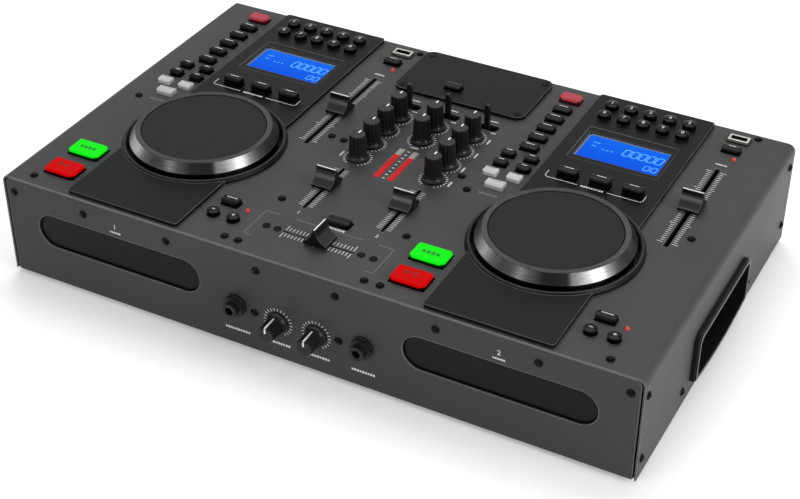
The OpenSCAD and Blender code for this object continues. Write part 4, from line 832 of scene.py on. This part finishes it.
look = table
bm = bmesh.new()
bmesh.ops.create_grid(bm, x_segments=1, y_segments=1, size=look["size"])
mesh = bpy.data.meshes.new("table")
bm.to_mesh(mesh)
bm.free()
floor = bpy.data.objects.new("table", mesh)
bpy.context.scene.collection.objects.link(floor)
material, tree, shader, place = startMaterial("paleTable", {
    "Base Color": linear(look["tone"]), "Roughness": 0.9, "Emission Color": (1, 1, 1, 1)})
away = addNode(tree, "VectorMath", {"operation": "LENGTH"}, {0: place})
glow = addNode(tree, "MapRange", links={
    "Value": away.outputs["Value"], "From Min": look["reach"][0], "From Max": look["reach"][1],
    "To Min": look["seen"][0], "To Max": look["seen"][1]})
share = addNode(tree, "Math", {"operation": "MULTIPLY"}, {0: seenShare(tree), 1: glow.outputs["Result"]})
tree.links.new(share.outputs[0], shader.inputs["Emission Strength"])
mesh.materials.append(material)

# A white surround, dimmer as a light than as a background
surround = {"light": 0.38, "seen": 1.0}
world = bpy.data.worlds.new("studio")
bpy.context.scene.world = world
world.use_nodes = True
tree = world.node_tree
tree.nodes.clear()
strength = addNode(tree, "MapRange", links={"Value": seenShare(tree), "To Min": surround["light"],
                                            "To Max": surround["seen"]})
sky = addNode(tree, "Background", links={"Color": (1, 1, 1, 1), "Strength": strength.outputs["Result"]})
addNode(tree, "OutputWorld", links={"Surface": sky.outputs["Background"]})

# Places and sizes in metres, power in watts
lamps = {
    "overheadSoftbox": {"place": (-0.35, 0.75, 1.85), "size": (1.5, 1.3), "power": 21},
    "rightSoftbox": {"place": (1.9, -0.3, 0.75), "size": (0.9, 1.2), "power": 27},
    "frontSoftbox": {"place": (-0.4, -1.9, 1.0), "size": (1.4, 0.8), "power": 12},
}
lampTarget = Vector((0, 0, 0.05))
for name, look in lamps.items():
    lamp = bpy.data.lights.new(name, "AREA")
    lamp.shape = "RECTANGLE"
    lamp.size, lamp.size_y = look["size"]
    lamp.energy = look["power"]
    holder = bpy.data.objects.new(name, lamp)
    holder.location = look["place"]
    holder.rotation_euler = (lampTarget - holder.location).to_track_quat("-Z", "Y").to_euler()
    bpy.context.scene.collection.objects.link(holder)

view = {"place": (482.35, -920.9, 746.0), "target": (-4.165, 0.491, 4.0), "lens": 74.23, "sensor": 36,
        "roll": 0.119, "near": 50}
camera = bpy.data.objects.new("camera", bpy.data.cameras.new("camera"))
camera.data.lens = view["lens"]
camera.data.sensor_width = view["sensor"]
camera.data.clip_start = view["near"] * mm
place = Vector(view["place"]) * mm
aim = (Vector(view["target"]) * mm - place).to_track_quat("-Z", "Y").to_matrix().to_4x4()
camera.matrix_world = Matrix.Translation(place) @ aim @ Matrix.Rotation(math.radians(view["roll"]), 4, "Z")
bpy.context.scene.collection.objects.link(camera)
bpy.context.scene.camera = camera
bpy.context.scene.view_settings.view_transform = "Standard"
print("scene lit and framed")
